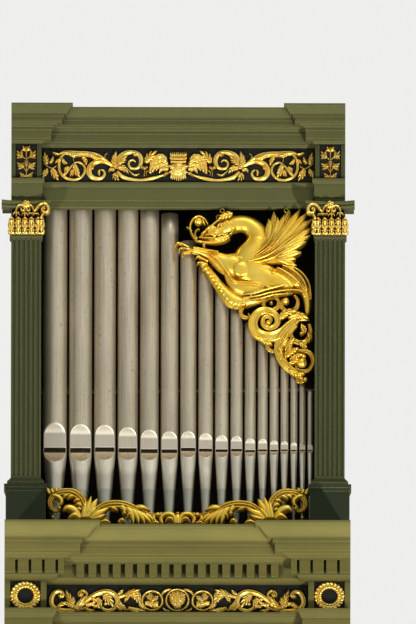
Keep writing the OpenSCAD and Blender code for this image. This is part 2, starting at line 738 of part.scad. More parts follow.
// Finial of a frieze block: stem, two pairs of leaves and a spreading top, as shares
finial_shares = [[0, 0.02, 0, 0.98, 0.2], [0, 0.08, 0.42, 0.22, 0.22], [0, 0.36, 0.44, 0.56, 0.2],
    [0, 0.42, 0.3, 0.84, 0.22], [0, 0.78, 0.42, 0.92, 0.18]];

// Height of the main frieze's carvings as a share of the frieze
frieze_fill_share = 0.9;
module frieze_ornaments() {
    high = frieze_h * frieze_fill_share;
    wide = shaft_w - 2 * frieze_stile_w;
    color(gold) on_both_sides()
        translate([pier_mid, 0, z_frieze + (frieze_h - high) / 2])
            plate(-pier_step + panel_sink, carving_t) on_both_sides()
                for (f = finial_shares) leaf([f[0] * wide, f[1] * high],
                    [f[2] * wide, f[3] * high], f[4] * high, 2);
}

frieze_scroll_shares = [[0.26, 0.5, 0.34, 0, 1], [0.43, 0.47, 0.32, 180, -1],
    [0.6, 0.5, 0.34, 0, 1], [0.77, 0.47, 0.32, 180, -1], [0.92, 0.5, 0.3, 0, 1]];

// Winged boss in the middle: tip and width of a wing, radius of the boss, then the plumes over it
wing_shares = [0.2, 0.62, 0.5];
boss_share = 0.3;
plume_shares = [[0.29, 0.92], [0.16, 0.98], [0, 1]];
module frieze_carving() {
    length = shaft_inner - frieze_stile_w;
    high = frieze_h * frieze_fill_share;
    color(gold) translate([0, 0, z_frieze + (frieze_h - high) / 2]) plate(0, carving_t) {
        on_both_sides() frieze_half(length, high, frieze_scroll_shares);
        on_both_sides() leaf([0, high / 2], [length * wing_shares[0], high * wing_shares[1]],
            high * wing_shares[2], 4);
        translate([0, high / 2]) circle(high * boss_share, $fn = round_fn);
        on_both_sides() for (s = plume_shares)
            leaf([0, high / 2], [high * s[0], high * s[1]], high * frieze_spiral_share, 2);
    }
}

module main_cornice() {
    color(case_green) broken_run(cornice_profile, shaft_inner, shaft_outer, pier_step, frame_t);
}

// Case behind the front

module roof_board() {
    color(raw_wood) board(-shaft_outer, shaft_outer, frame_t, case_depth, z_roof, z_top);
}

module back_wall() {
    color(raw_wood) {
        board(-half_w + frame_t, half_w - frame_t, case_depth - board_t, case_depth,
            base_h, z_ped_top - board_t);
        board(-wall_inner, wall_inner, case_depth - board_t, case_depth, z_ped_top, z_roof);
    }
}

module side_wall() {
    color(case_green) board(wall_inner, shaft_outer, frame_t, case_depth, z_ped_top, z_roof);
}

module floor_board() {
    color(raw_wood) board(-half_w, half_w, frame_t, case_depth, z_ped_top - board_t, z_ped_top);
}

// Pipes

function pipe_name(i) = str("pipe_", i < 10 ? "0" : "", i);
function pipe_share(i) = pow(pipe_d_ratio, i - 1) * pow(pipe_d_fall, (i - 1) * (i - 2) / 2);
function pipe_share_sum(i) = i < 1 ? 0 : pipe_share_sum(i - 1) + pipe_share(i);
pipe_d = (2 * shaft_inner - 2 * pipe_side - (pipe_count - 1) * pipe_gap)
    / pipe_share_sum(pipe_count);
function pipe_dia(i) = pipe_d * pipe_share(i);
function pipe_run(i) = i < 1 ? 0 : pipe_run(i - 1) + pipe_dia(i) + pipe_gap;
function pipe_x(i) = -(pipe_run(pipe_count) - pipe_gap) / 2 + pipe_run(i - 1) + pipe_dia(i) / 2;
function pipe_y(i) = pipe_back + pipe_dia(i) / 2;
function pipe_body(i) = i < body_pipe ? body_l * (1 + bass_share * (body_pipe - i))
    : body_l * pow(body_ratio, i - body_pipe);
function toe_hole(i) = pipe_dia(i) * toe_ratio * toe_hole_ratio;

// What a flat takes off a pipe: its outline seen from the side, drawn across the whole width
module flat_cut(outline, wide) {
    rotate([90, 0, 90]) linear_extrude(wide, center = true) polygon(outline);
}

// One pipe: a tube with its mouth and flat lips with round heads, on a tapering foot
module organ_pipe(i) {
    d = pipe_dia(i);
    r = d / 2;
    width = d * mouth_ratio;
    mouth_w = width - pipe_t;
    flat = sqrt(r * r - width * width / 4);
    head_h = width / 2;
    cut_up = d * cut_up_ratio;
    lip_top = cut_up + d * lip_ratio;
    head_reach = head_h * (2 * r - flat) / (r - flat);
    color(tin) translate([pipe_x(i), pipe_y(i), z_mouth]) difference() {
        union() {
            cylinder(r = r, h = pipe_body(i), $fn = round_fn);
            translate([0, 0, -foot_l]) cylinder(r1 = r * toe_ratio, r2 = r, h = foot_l, $fn = round_fn);
        }
        translate([0, 0, lip_top + pipe_t])
            cylinder(r = r - pipe_t, h = pipe_body(i), $fn = round_fn);
        translate([0, 0, pipe_t])
            cylinder(r = flat - pipe_t, h = pipe_body(i), $fn = round_fn);
        flat_cut([[-2 * r, cut_up], [-flat, cut_up], [-flat, lip_top - head_h],
            [-2 * r, lip_top - head_h + head_reach]], 4 * r);
        flat_cut([[-2 * r, 0], [-flat, 0], [-2 * r, -head_reach]], 4 * r);
        translate([-mouth_w / 2, -r - cut_over, 0]) cube([mouth_w, r + cut_over, cut_up]);
        translate([0, 0, -foot_l - cut_over])
            cylinder(d = toe_hole(i), h = foot_l / 2, $fn = round_fn);
    }
}

// Rack board: its front edge runs through the pipe centres and each pipe lies in a notch
module pipe_rack() {
    deep = pipe_y(1) + pipe_dia(1) / 2 + rack_back;
    color(raw_wood) translate([0, 0, z_rack]) linear_extrude(rack_t) difference() {
        polygon(concat([[-wall_inner, pipe_y(1)]],
            [for (i = [1 : pipe_count]) [pipe_x(i), pipe_y(i)]],
            [[wall_inner, pipe_y(pipe_count)], [wall_inner, deep], [-wall_inner, deep]]));
        for (i = [1 : pipe_count]) translate([pipe_x(i), pipe_y(i)])
            circle(pipe_dia(i) / 2 + rack_clear, $fn = round_fn);
    }
}

// Pipe shade: a dragon over leaf scrolls. Places and widths are shares of its frame.

shade_body_shares = [
    [[0.375, 0.94, 0.10], [0.46, 0.945, 0.105], [0.55, 0.91, 0.12], [0.595, 0.845, 0.14],
     [0.575, 0.78, 0.2], [0.545, 0.70, 0.27], [0.6, 0.62, 0.26], [0.72, 0.57, 0.2],
     [0.85, 0.56, 0.13]],
    [[0.44, 0.93, 0.09], [0.375, 0.91, 0.12], [0.31, 0.875, 0.145], [0.235, 0.85, 0.105], [0.17, 0.83, 0.065],
     [0.12, 0.825, 0.02]],
    [[0.47, 0.67, 0.2], [0.36, 0.7, 0.13], [0.26, 0.745, 0.09], [0.17, 0.77, 0.075],
     [0.11, 0.78, 0.05]],
    [[0.81, 0.535, 0.06], [0.71, 0.51, 0.085], [0.6, 0.487, 0.12], [0.48, 0.476, 0.14],
     [0.39, 0.505, 0.14], [0.32, 0.565, 0.09], [0.255, 0.63, 0.07], [0.195, 0.685, 0.06]]];
shade_wing_shares = [
    [[0.52, 0.69, 0.05], [0.645, 0.72, 0.11], [0.75, 0.775, 0.19], [0.845, 0.84, 0.2],
     [0.92, 0.9, 0.12], [0.98, 0.94, 0.02]]];
shade_feather_shares = [[0.68, 0.82, 0.71, 0.99], [0.75, 0.86, 0.825, 0.998],
    [0.82, 0.89, 0.91, 0.995], [0.88, 0.9, 0.965, 0.98], [0.86, 0.85, 0.99, 0.925],
    [0.82, 0.82, 0.985, 0.885], [0.78, 0.79, 0.945, 0.815], [0.74, 0.76, 0.9, 0.75],
    [0.7, 0.72, 0.87, 0.68]];
shade_tail_shares = [
    [[0.75, 0.6, 0.16], [0.86, 0.6, 0.17], [0.93, 0.55, 0.12], [0.965, 0.475, 0.07],
     [0.955, 0.4, 0.055], [0.94, 0.365, 0.03]],
    [[0.14, 0.835, 0.016], [0.105, 0.88, 0.017], [0.085, 0.92, 0.018], [0.12, 0.955, 0.022],
     [0.16, 0.95, 0.035], [0.185, 0.925, 0.03], [0.15, 0.91, 0.014]],
    [[0.28, 0.955, 0.02], [0.33, 0.975, 0.03], [0.385, 0.975, 0.014]]];
shade_claw_shares = [
    [[0.115, 0.785, 0.03], [0.05, 0.81, 0.02], [0.01, 0.795, 0.01]],
    [[0.125, 0.772, 0.026], [0.06, 0.778, 0.018], [0.035, 0.762, 0.008]],
    [[0.14, 0.758, 0.024], [0.08, 0.755, 0.016], [0.06, 0.74, 0.008]],
    [[0.19, 0.69, 0.03], [0.155, 0.715, 0.02], [0.13, 0.72, 0.01]],
    [[0.19, 0.68, 0.026], [0.155, 0.69, 0.018], [0.14, 0.68, 0.008]],
    [[0.2, 0.67, 0.024], [0.185, 0.655, 0.018], [0.18, 0.645, 0.01]]];
shade_scroll_shares = [
    [[0.665, 0.345, 0.035], [0.70, 0.36, 0.035], [0.69, 0.405, 0.045], [0.625, 0.42, 0.055],
     [0.57, 0.387, 0.065], [0.56, 0.327, 0.08], [0.616, 0.275, 0.085], [0.70, 0.264, 0.085],
     [0.787, 0.312, 0.09], [0.843, 0.364, 0.10], [0.91, 0.394, 0.09], [0.965, 0.365, 0.02]],
    [[0.84, 0.37, 0.08], [0.78, 0.3, 0.09], [0.75, 0.22, 0.085], [0.75, 0.155, 0.065],
     [0.805, 0.095, 0.055], [0.88, 0.045, 0.045], [0.93, 0.01, 0.025]],
    [[0.84, 0.29, 0.035], [0.85, 0.24, 0.035], [0.91, 0.222, 0.035], [0.965, 0.25, 0.03],
     [0.98, 0.3, 0.02]],
    [[0.84, 0.3, 0.03], [0.88, 0.35, 0.03], [0.95, 0.345, 0.04], [0.965, 0.31, 0.02]],
    [[0.84, 0.15, 0.035], [0.92, 0.19, 0.03], [0.985, 0.155, 0.028], [0.985, 0.095, 0.028],
     [0.93, 0.065, 0.028], [0.86, 0.075, 0.02]],
    [[0.92, 0.19, 0.035], [0.935, 0.225, 0.04]],
    [[0.46, 0.43, 0.03], [0.465, 0.385, 0.02], [0.515, 0.37, 0.03], [0.53, 0.39, 0.014]],
    [[0.64, 0.235, 0.03], [0.66, 0.19, 0.03], [0.71, 0.175, 0.03], [0.75, 0.18, 0.03]]];
shade_ring_shares = [[0.687, 0.457, 0.06, 0.03], [0.82, 0.457, 0.066, 0.038],
    [0.925, 0.112, 0.036, 0]];
shade_link_shares = [[[0.925, 0.12, 0.04], [0.93, 0.07, 0.03]],
    [[0.6, 0.455, 0.05], [0.7, 0.5, 0.05], [0.88, 0.49, 0.06],
    [0.885, 0.4, 0.05]], [[0.82, 0.4, 0.05], [0.85, 0.37, 0.07]]];
// Width of a feather, then place of the hanging rods and the length of them inside the carving
feather_share = 0.075;
hanger_shares = [0.32, 0.795];
hanger_foot_share = 0.05;

module shade_ribbons(table) {
    for (shares = table) ribbon(shares, shade_w, shade_h);
}

module shade_outline() {
    shade_ribbons(shade_body_shares);
    shade_ribbons(shade_wing_shares);
    shade_ribbons(shade_tail_shares);
    shade_ribbons(shade_claw_shares);
    shade_ribbons(shade_scroll_shares);
    shade_ribbons(shade_link_shares);
    for (f = shade_feather_shares) leaf([f[0] * shade_w, f[1] * shade_h],
        [f[2] * shade_w, f[3] * shade_h], shade_w * feather_share, 2);
    for (s = shade_ring_shares) translate([s[0] * shade_w, s[1] * shade_h]) difference() {
        circle(s[2] * shade_w, $fn = round_fn);
        if (s[3] > 0) circle(s[3] * shade_w, $fn = round_fn);
    }
}

module pipe_shade() {
    low = z_arch - hanger_l - shade_h;
    color(gold) translate([shaft_inner - shade_w, 0, low]) union() {
        plate(frame_t / 2, shade_t) intersection() {
            shade_outline();
            square([shade_w, shade_h]);
        }
        plate(frame_t / 2 - shade_t, shade_relief) shade_ribbons(shade_body_shares);
        for (s = hanger_shares) translate([s * shade_w, frame_t / 2 - shade_t / 2,
            shade_h * (1 - hanger_foot_share)])
            cylinder(d = hanger_d, h = hanger_l + shade_h * hanger_foot_share, $fn = round_fn);
    }
}

base_plinth();
pedestal_architrave();
pedestal_frieze_board();
pedestal_blocks();
wreaths();
pedestal_carving();
dentil_course();
pedestal_cornice();
pedestal_sides();
toe_board();
toe_carving();
mirror([1, 0, 0]) plinth();  // plinth_left
plinth();  // plinth_right
mirror([1, 0, 0]) pilaster();  // pilaster_left
pilaster();  // pilaster_right
mirror([1, 0, 0]) capital();  // capital_left
capital();  // capital_right
front_posts();
architrave();
frieze_board();
frieze_blocks();
frieze_ornaments();
frieze_carving();
main_cornice();
roof_board();
back_wall();
mirror([1, 0, 0]) side_wall();  // side_wall_left
side_wall();  // side_wall_right
floor_board();
pipe_rack();
pipe_shade();
for (i = [1 : pipe_count]) organ_pipe(i);
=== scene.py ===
# %% [markdown]
# # One bay of a carved organ case
# An organ case is joiner's work: mouldings run on a plane, boards, fluted pilasters, and carvings that are
# glued on and gilded. The front pipes are thin sheets of tin and lead, rolled and soldered. The frame already
# holds each plain piece at its real size, so this file only gives it paint and metal, and models afresh what
# a carver and a pipe maker shape by hand.
# Every length is in metres. +Z is up, the front faces -Y, and the frieze plane is y = 0.

# %% Load the frame
import math

import bmesh
import bpy
import numpy as np
from mathutils import Matrix, Vector


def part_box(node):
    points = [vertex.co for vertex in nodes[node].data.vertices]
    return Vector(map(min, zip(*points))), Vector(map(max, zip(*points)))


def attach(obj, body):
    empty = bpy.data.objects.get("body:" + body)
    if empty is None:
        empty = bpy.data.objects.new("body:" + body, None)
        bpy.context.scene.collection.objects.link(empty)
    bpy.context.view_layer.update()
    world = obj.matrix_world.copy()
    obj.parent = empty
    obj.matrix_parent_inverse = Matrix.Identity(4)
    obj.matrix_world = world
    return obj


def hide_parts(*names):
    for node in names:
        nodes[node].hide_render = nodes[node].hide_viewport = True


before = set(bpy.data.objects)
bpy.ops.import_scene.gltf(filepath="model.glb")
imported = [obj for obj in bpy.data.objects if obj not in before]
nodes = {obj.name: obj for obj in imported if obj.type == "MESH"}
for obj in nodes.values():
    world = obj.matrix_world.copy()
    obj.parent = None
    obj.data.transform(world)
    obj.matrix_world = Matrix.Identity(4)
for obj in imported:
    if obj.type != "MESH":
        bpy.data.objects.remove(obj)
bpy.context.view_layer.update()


def new_object(name, data):
    made = bpy.data.objects.new(name, data)
    bpy.context.collection.objects.link(made)
    return made


print("nodes in the frame:", len(nodes))

# %% [markdown]
# ## The photographer's place
# The picture was taken from the floor of a tall room with a long lens and squared up, so no line converges
# and the eye looks up at about 18 degrees. An orthographic camera gives the same drawing. Its axes are kept
# as vectors, because later cells send a line of sight through a point of the picture to find where a carved
# leaf lies on its board.

# %% The camera
FRAME_W, FRAME_H = 416, 624
PIXEL = 0.006
VIEW_UP = math.radians(18)
ROLL = math.radians(0.12)
DISTANCE = 12.0
AIM = Vector((0.180, 0.0, 2.112))

forward = Vector((0, math.cos(VIEW_UP), math.sin(VIEW_UP)))
level_up = Vector((1, 0, 0)).cross(forward)
cam_right = Vector((1, 0, 0)) * math.cos(ROLL) + level_up * math.sin(ROLL)
cam_up = level_up * math.cos(ROLL) - Vector((1, 0, 0)) * math.sin(ROLL)
cam_place = AIM - forward * DISTANCE

camera = new_object("camera", bpy.data.cameras.new("camera"))
axes = Matrix((cam_right, cam_up, -forward)).transposed()
camera.matrix_world = Matrix.Translation(cam_place) @ axes.to_4x4()
camera.data.type = "ORTHO"
camera.data.sensor_fit = "HORIZONTAL"
camera.data.ortho_scale = FRAME_W * PIXEL
bpy.context.scene.camera = camera


def on_plane(across, down, plane):
    """Where the line of sight through a point of the picture meets the upright plane y = plane."""
    start = (cam_place + cam_right * ((across - FRAME_W / 2) * PIXEL)
             + cam_up * ((FRAME_H / 2 - down) * PIXEL))
    return start + forward * ((plane - start.y) / forward.y)


print("the picture is", FRAME_W * PIXEL, "m wide")

# %% [markdown]
# ## Light and floor
# The real case is lit by lamps that stand low in front of it, to the left and to the right, so undersides are
# bright and each cornice throws its shadow upwards. Two soft suns from below do the same, and a weak third
# one shines from above. A shader lets the two through the floor: it is clear for shadow rays and clear from
# underneath, where the camera looks up at it, and pale when it is seen from above. The pale backdrop is the
# world's colour for camera rays; what gloss and metal mirror of it is dimmer on the left, where the real
# room is dark.

# %% Lamps, world and floor
SUN_LOW_LEFT = dict(turn=-38, rise=38, power=1.15, soft=3.0)
SUN_LOW_RIGHT = dict(turn=34, rise=44, power=2.3, soft=3.0)
SUN_OVERHEAD = dict(turn=12, rise=-52, power=0.35, soft=20.0)
WORLD_LIGHT = 0.33
ROOM_TINT = (0.80, 0.90, 0.84, 1)
MIRRORED_LEFT, MIRRORED_RIGHT = 0.16, 0.85
BACKDROP = (0.86, 0.86, 0.85, 1)
FLOOR_PALE = (0.72, 0.71, 0.69, 1)


class Tree:
    """Short calls for node trees: add a node, and set or link each of its inputs."""

    def __init__(self, tree):
        self.tree = tree

    def add(self, kind, inputs=None, **settings):
        node = self.tree.nodes.new(kind)
        for name, value in settings.items():
            setattr(node, name, value)
        for key, value in (inputs or {}).items():
            value = value.socket if isinstance(value, Value) else value
            if isinstance(value, bpy.types.NodeSocket):
                self.tree.links.new(value, node.inputs[key])
            else:
                node.inputs[key].default_value = value
        return node

    def value(self, socket):
        return Value(self, socket)

    def read(self, kind, output=0, inputs=None, **settings):
        """One output of a new node, as a value."""
        return Value(self, self.add(kind, inputs, **settings).outputs[output])

    def split(self, vector):
        return [Value(self, part) for part in self.add("ShaderNodeSeparateXYZ", {0: vector}).outputs]

    def join(self, x, y, z):
        return self.add("ShaderNodeCombineXYZ", {0: x, 1: y, 2: z}).outputs[0]


class Value:
    """A number in a node tree that takes part in ordinary sums."""

    def __init__(self, tree, socket):
        self.tree = tree
        self.socket = socket

    def math(self, operation, *others):
        inputs = dict(enumerate([self, *others]))
        node = self.tree.add("ShaderNodeMath", inputs, operation=operation)
        return Value(self.tree, node.outputs[0])

    def __add__(self, other): return self.math("ADD", other)
    def __sub__(self, other): return self.math("SUBTRACT", other)
    def __mul__(self, other): return self.math("MULTIPLY", other)
    def __truediv__(self, other): return self.math("DIVIDE", other)
    def __neg__(self): return self.math("MULTIPLY", -1.0)

    def ramp(self, low, high, start=0.0, end=1.0):
        node = self.tree.add("ShaderNodeMapRange", {"Value": self, "From Min": low, "From Max": high,
                                                    "To Min": start, "To Max": end})
        return Value(self.tree, node.outputs[0])


def sun(name, turn, rise, power, soft):
    """A sun that shines from `turn` degrees round to the right of the front and `rise` degrees below."""
    lamp = new_object(name, bpy.data.lights.new(name, "SUN"))
    lamp.data.energy = power
    lamp.data.angle = math.radians(soft)
    t, r = math.radians(turn), math.radians(rise)
    travel = Vector((-math.sin(t) * math.cos(r), math.cos(t) * math.cos(r), math.sin(r)))
    lamp.rotation_euler = travel.to_track_quat("-Z", "Y").to_euler()


sun("sun_low_left", **SUN_LOW_LEFT)
sun("sun_low_right", **SUN_LOW_RIGHT)
sun("sun_overhead", **SUN_OVERHEAD)

world = bpy.data.worlds.new("studio")
bpy.context.scene.world = world
world.use_nodes = True
w = Tree(world.node_tree)
world.node_tree.nodes.clear()
rays = w.add("ShaderNodeLightPath")
seen = w.value(rays.outputs["Is Camera Ray"]).math("MAXIMUM", rays.outputs["Is Transmission Ray"])
glossy = w.value(rays.outputs["Is Glossy Ray"])
from_left = w.split(w.add("ShaderNodeTexCoord").outputs["Generated"])[0]
to_right = from_left.ramp(-0.75, 0.45, MIRRORED_LEFT, MIRRORED_RIGHT)
strength = (seen.math("MAXIMUM", glossy * to_right)).ramp(0.0, 1.0, WORLD_LIGHT, 1.0)
shown = w.add("ShaderNodeMix", {"Factor": seen.math("MAXIMUM", glossy)}, data_type="RGBA")
shown.inputs[6].default_value, shown.inputs[7].default_value = ROOM_TINT, BACKDROP
back = w.add("ShaderNodeBackground", {"Color": shown.outputs[2], "Strength": strength})
w.add("ShaderNodeOutputWorld", {"Surface": back.outputs[0]})


def new_material(name):
    """An empty material, and the tree that a finish is built in."""
    material = bpy.data.materials.new(name)
    material.use_nodes = True
    material.node_tree.nodes.clear()
    return material, Tree(material.node_tree)


floor_paint, f = new_material("studio_floor")
rays = f.add("ShaderNodeLightPath")
side = f.add("ShaderNodeNewGeometry")
clear = f.value(rays.outputs["Is Shadow Ray"]).math("MAXIMUM", side.outputs["Backfacing"])
pale = f.add("ShaderNodeBsdfDiffuse", {"Color": FLOOR_PALE})
open_air = f.add("ShaderNodeBsdfTransparent")
mix = f.add("ShaderNodeMixShader", {0: clear, 1: pale.outputs[0], 2: open_air.outputs[0]})
f.add("ShaderNodeOutputMaterial", {"Surface": mix.outputs[0]})

HALF_FLOOR = 9.0
floor_mesh = bpy.data.meshes.new("studio_floor")
floor_mesh.from_pydata([(x * HALF_FLOOR, y * HALF_FLOOR, 0) for x, y in ((-1, -1), (1, -1), (1, 1), (-1, 1))],
                       [], [(0, 1, 2, 3)])
floor_mesh.materials.append(floor_paint)
new_object("studio_floor", floor_mesh)
bpy.context.scene.view_settings.view_transform = "Standard"
print("three suns, a world and a floor")

# %% [markdown]
# ## Finishes
# Old oil paint isn't one colour. It has been brushed along each board, and it is thin and lighter on worn
# edges, which also carry a painted highlight. The quirks of the mouldings are painted darker. The same few
# noises can tell that story for every green piece: one stretched along the brush strokes, one in large
# clouds, and two masks that find edges and recesses.

# %% Helpers for finishes
GRAIN_ALONG = {"x": (1.2, 30.0, 30.0), "z": (30.0, 30.0, 1.2)}


def noise(t, size, detail=4.0, stretch=(1.0, 1.0, 1.0), rough=0.55):
    """Noise on the piece's own coordinates, `size` times a metre, as a value from 0 to 1."""
    place = t.add("ShaderNodeTexCoord").outputs["Object"]
    turned = t.add("ShaderNodeMapping", {"Vector": place, "Scale": stretch})
    return t.read("ShaderNodeTexNoise", "Fac", {"Vector": turned.outputs[0], "Scale": size,
                                                "Detail": detail, "Roughness": rough})


def blend(t, share, first, second):
    """A colour between two colours."""
    mixed = t.add("ShaderNodeMix", {"Factor": share}, data_type="RGBA")
    for index, colour in ((6, first), (7, second)):
        if isinstance(colour, bpy.types.NodeSocket):
            t.tree.links.new(colour, mixed.inputs[index])
        else:
            mixed.inputs[index].default_value = (*colour, 1)
    return mixed.outputs[2]


def recess(t, reach, low, high):
    """0 in the open and 1 deep in a corner."""
    found = t.read("ShaderNodeAmbientOcclusion", "AO", {"Distance": reach}, samples=6)
    return found.ramp(low, high, 1.0, 0.0)


def worn_edge(t, radius):
    """1 on a sharp outer edge: there the rounded normal departs from the true one."""
    soft = t.add("ShaderNodeBevel", {"Radius": radius}, samples=4)
    true = t.add("ShaderNodeNewGeometry")
    alike = t.read("ShaderNodeVectorMath", "Value", {0: soft.outputs[0], 1: true.outputs["True Normal"]},
                   operation="DOT_PRODUCT")
    return soft.outputs[0], alike.ramp(0.995, 0.9, 0.0, 1.0)


def bump(t, strength, distance, height, normal=None):
    """Small relief of a finish; it may ride on a rounded normal."""
    inputs = {"Strength": strength, "Distance": distance, "Height": height}
    if normal:
        inputs["Normal"] = normal
    return t.add("ShaderNodeBump", inputs).outputs[0]


def surface(t, colour, roughness, normal, metallic=0.0, **more):
    """The closing shader of a finish."""
    shader = t.add("ShaderNodeBsdfPrincipled", {"Base Color": colour, "Roughness": roughness,
                                                "Normal": normal, "Metallic": metallic, **more})
    t.add("ShaderNodeOutputMaterial", {"Surface": shader.outputs[0]})


# %% Green case paint and black panel paint
# Painted light on the pedestal, which the low lamps light most: below the first height its paint takes
# lighter, yellower tones, and these grow lighter from the first level to the second over the pair of heights.
PAINTED_LIGHT_TOP = 0.672
PAINTED_LIGHT_RISE, PAINTED_LIGHT_LEVELS = (0.42, 0.62), (0.80, 1.22)
VARNISH_SHINE = (1.0, 0.92, 0.62, 1.0)


def painted(name, grain, dark, light, worn_and_lit, recess_tone, gloss=0.62, low=None, shade=(1, 1, 1)):
    """Oil paint brushed along the board. Its worn edges are partly a painted highlight, and it is darker in
    the recesses. `low` is a second pair of tones for the pedestal: painted light, lighter and yellower where
    the low lamps light it most, and lighter towards its top. `shade` darkens the paint as painted shade."""
    material, t = new_material(name)
    strokes = noise(t, 5.0, 6.0, GRAIN_ALONG[grain])
    clouds = noise(t, 1.7, 3.0)
    specks = noise(t, 95.0, 2.0)
    tone = (strokes * 0.4 + clouds * 0.6).ramp(0.30, 0.70)
    colour = blend(t, tone, [c * s for c, s in zip(dark, shade)], [c * s for c, s in zip(light, shade)])
    # Painted light: below the pedestal's top the paint turns lighter and yellower, and lighter towards the
    # top.
    if low:
        height = t.split(t.add("ShaderNodeTexCoord").outputs["Object"])[2]
        pair = [blend(t, tone, *([c * s for c in paint] for paint in low)) for s in PAINTED_LIGHT_LEVELS]
        colour = blend(t, height.ramp(PAINTED_LIGHT_TOP, PAINTED_LIGHT_TOP - 0.02), colour,
                       blend(t, height.ramp(*PAINTED_LIGHT_RISE), *pair))
    soft_normal, edge = worn_edge(t, 0.005)
    # Worn edges turn lighter: partly real wear, partly a painted highlight along the edges.
    wear_and_painted_light = (edge * specks.ramp(0.25, 0.55)) * 0.8
    colour = blend(t, wear_and_painted_light, colour, worn_and_lit)
    # Recesses are painted darker, towards a near black, by an occlusion mask.
    recess_darkening = recess(t, 0.05, 0.35, 0.95) * 0.55
    colour = blend(t, recess_darkening, colour, recess_tone)
    relief = bump(t, 0.14, 0.002, strokes * 0.6 + specks * 0.4, soft_normal)
    roughness = (strokes * 0.25 + clouds * 0.15) + (gloss - 0.2)
    surface(t, colour, roughness, relief, **{"Specular IOR Level": 0.22, "Specular Tint": VARNISH_SHINE})
    return material


# The `low` pair holds the lighter, yellower tones that paint light on the pedestal.
green = dict(dark=(0.086, 0.089, 0.031), light=(0.121, 0.120, 0.043), worn_and_lit=(0.34, 0.31, 0.13),
             recess_tone=(0.012, 0.016, 0.010), low=((0.150, 0.136, 0.040), (0.222, 0.190, 0.054)))
case_paint_level = painted("case_paint_level", "x", **green)
# Painted shade: uprights and plinths take the same green paint, darker and bluer, for the shade they stand
# in.
case_paint_upright_shaded = painted("case_paint_upright_shaded", "z", shade=(0.55, 0.60, 0.66), **green)
case_paint_plinth_shaded = painted("case_paint_plinth_shaded", "z", shade=(0.30, 0.40, 0.62), **green)
panel_paint = painted("panel_paint", "x", (0.006, 0.007, 0.008), (0.016, 0.018, 0.019),
                      (0.05, 0.045, 0.035), (0.003, 0.003, 0.003), 0.66)


# %% Bare wood of the hidden boards
def bare_boards(name, dark, light):
    """Unpainted softwood, darkened by age and dust and further as painted shade, so that the inside of the
    case stays dark, with its grain along the board.
    """
    material, t = new_material(name)
    rings = noise(t, 3.0, 8.0, (24.0, 24.0, 1.0), 0.62)
    clouds = noise(t, 2.2, 4.0)
    tone = (rings * 0.7 + clouds * 0.3).ramp(0.36, 0.64)
    colour = blend(t, tone, dark, light)
    soft_normal, edge = worn_edge(t, 0.003)
    colour = blend(t, edge * 0.3, colour, (0.16, 0.12, 0.08))
    surface(t, colour, rings * 0.2 + 0.68, bump(t, 0.3, 0.002, rings, soft_normal))
    return material


# Partly painted shade: the tones are kept very dark, so the boards inside the case stay dark between the
# pipes.
bare_wood = bare_boards("bare_wood", (0.035, 0.025, 0.017), (0.085, 0.062, 0.040))


# %% [markdown]
# Gold leaf is real metal, laid over a brown-red clay. It is burnished on the high places and matt in the
# hollows. With the recess mask the colour falls from pale gold to a brown of painted shade, and where carving
# is deep to a dark clay brown, partly leaf rubbed through to the clay and partly painted shade; the roughness
# rises with the mask. There are two golds: the dragon and the scrolls before the pipe feet have a deep one,
# and the small carvings of the friezes, blocks and capitals a paler one.

# %% Gold leaf
def gold_leaf(name, hollow_shade, base, pale, clay_and_shade):
    """Leaf from a base tone to a pale one, darkened in its hollows as painted shade, and darkest where it is
    partly rubbed through to the clay and partly painted shade.
    """
    material, t = new_material(name)
    clouds = noise(t, 9.0, 4.0)
    tool_marks = noise(t, 70.0, 3.0)
    grains = noise(t, 260.0, 2.0)
    colour = blend(t, clouds.ramp(0.32, 0.68), base, pale)
    hollow = recess(t, 0.026, 0.15, 0.86)
    # Painted shade: the hollows darken towards a deep brown.
    colour = blend(t, hollow * 0.90, colour, hollow_shade)
    # Where carving is deep the leaf turns to a dark clay brown: partly rubbed through to the clay, partly
    # painted shade.
    wear_and_painted_light = (hollow * tool_marks.ramp(0.4, 0.62)) * 0.7
    colour = blend(t, wear_and_painted_light, colour, clay_and_shade)
    surface(t, colour, clouds * 0.16 + (hollow * 0.25 + 0.25),
            bump(t, 0.42, 0.0022, tool_marks * 0.7 + grains * 0.3), metallic=(hollow * -0.45) + 0.90)
    return material


# For each gold, the first colour is painted shade for the hollows and the last is clay and painted shade.
gilding = gold_leaf("gilding", (0.36, 0.15, 0.016), (0.96, 0.57, 0.046), (1.0, 0.74, 0.118),
                    (0.085, 0.038, 0.010))
fine_gilding = gold_leaf("fine_gilding", (0.36, 0.16, 0.024), (1.0, 0.61, 0.085), (1.0, 0.79, 0.215),
                         (0.085, 0.038, 0.012))


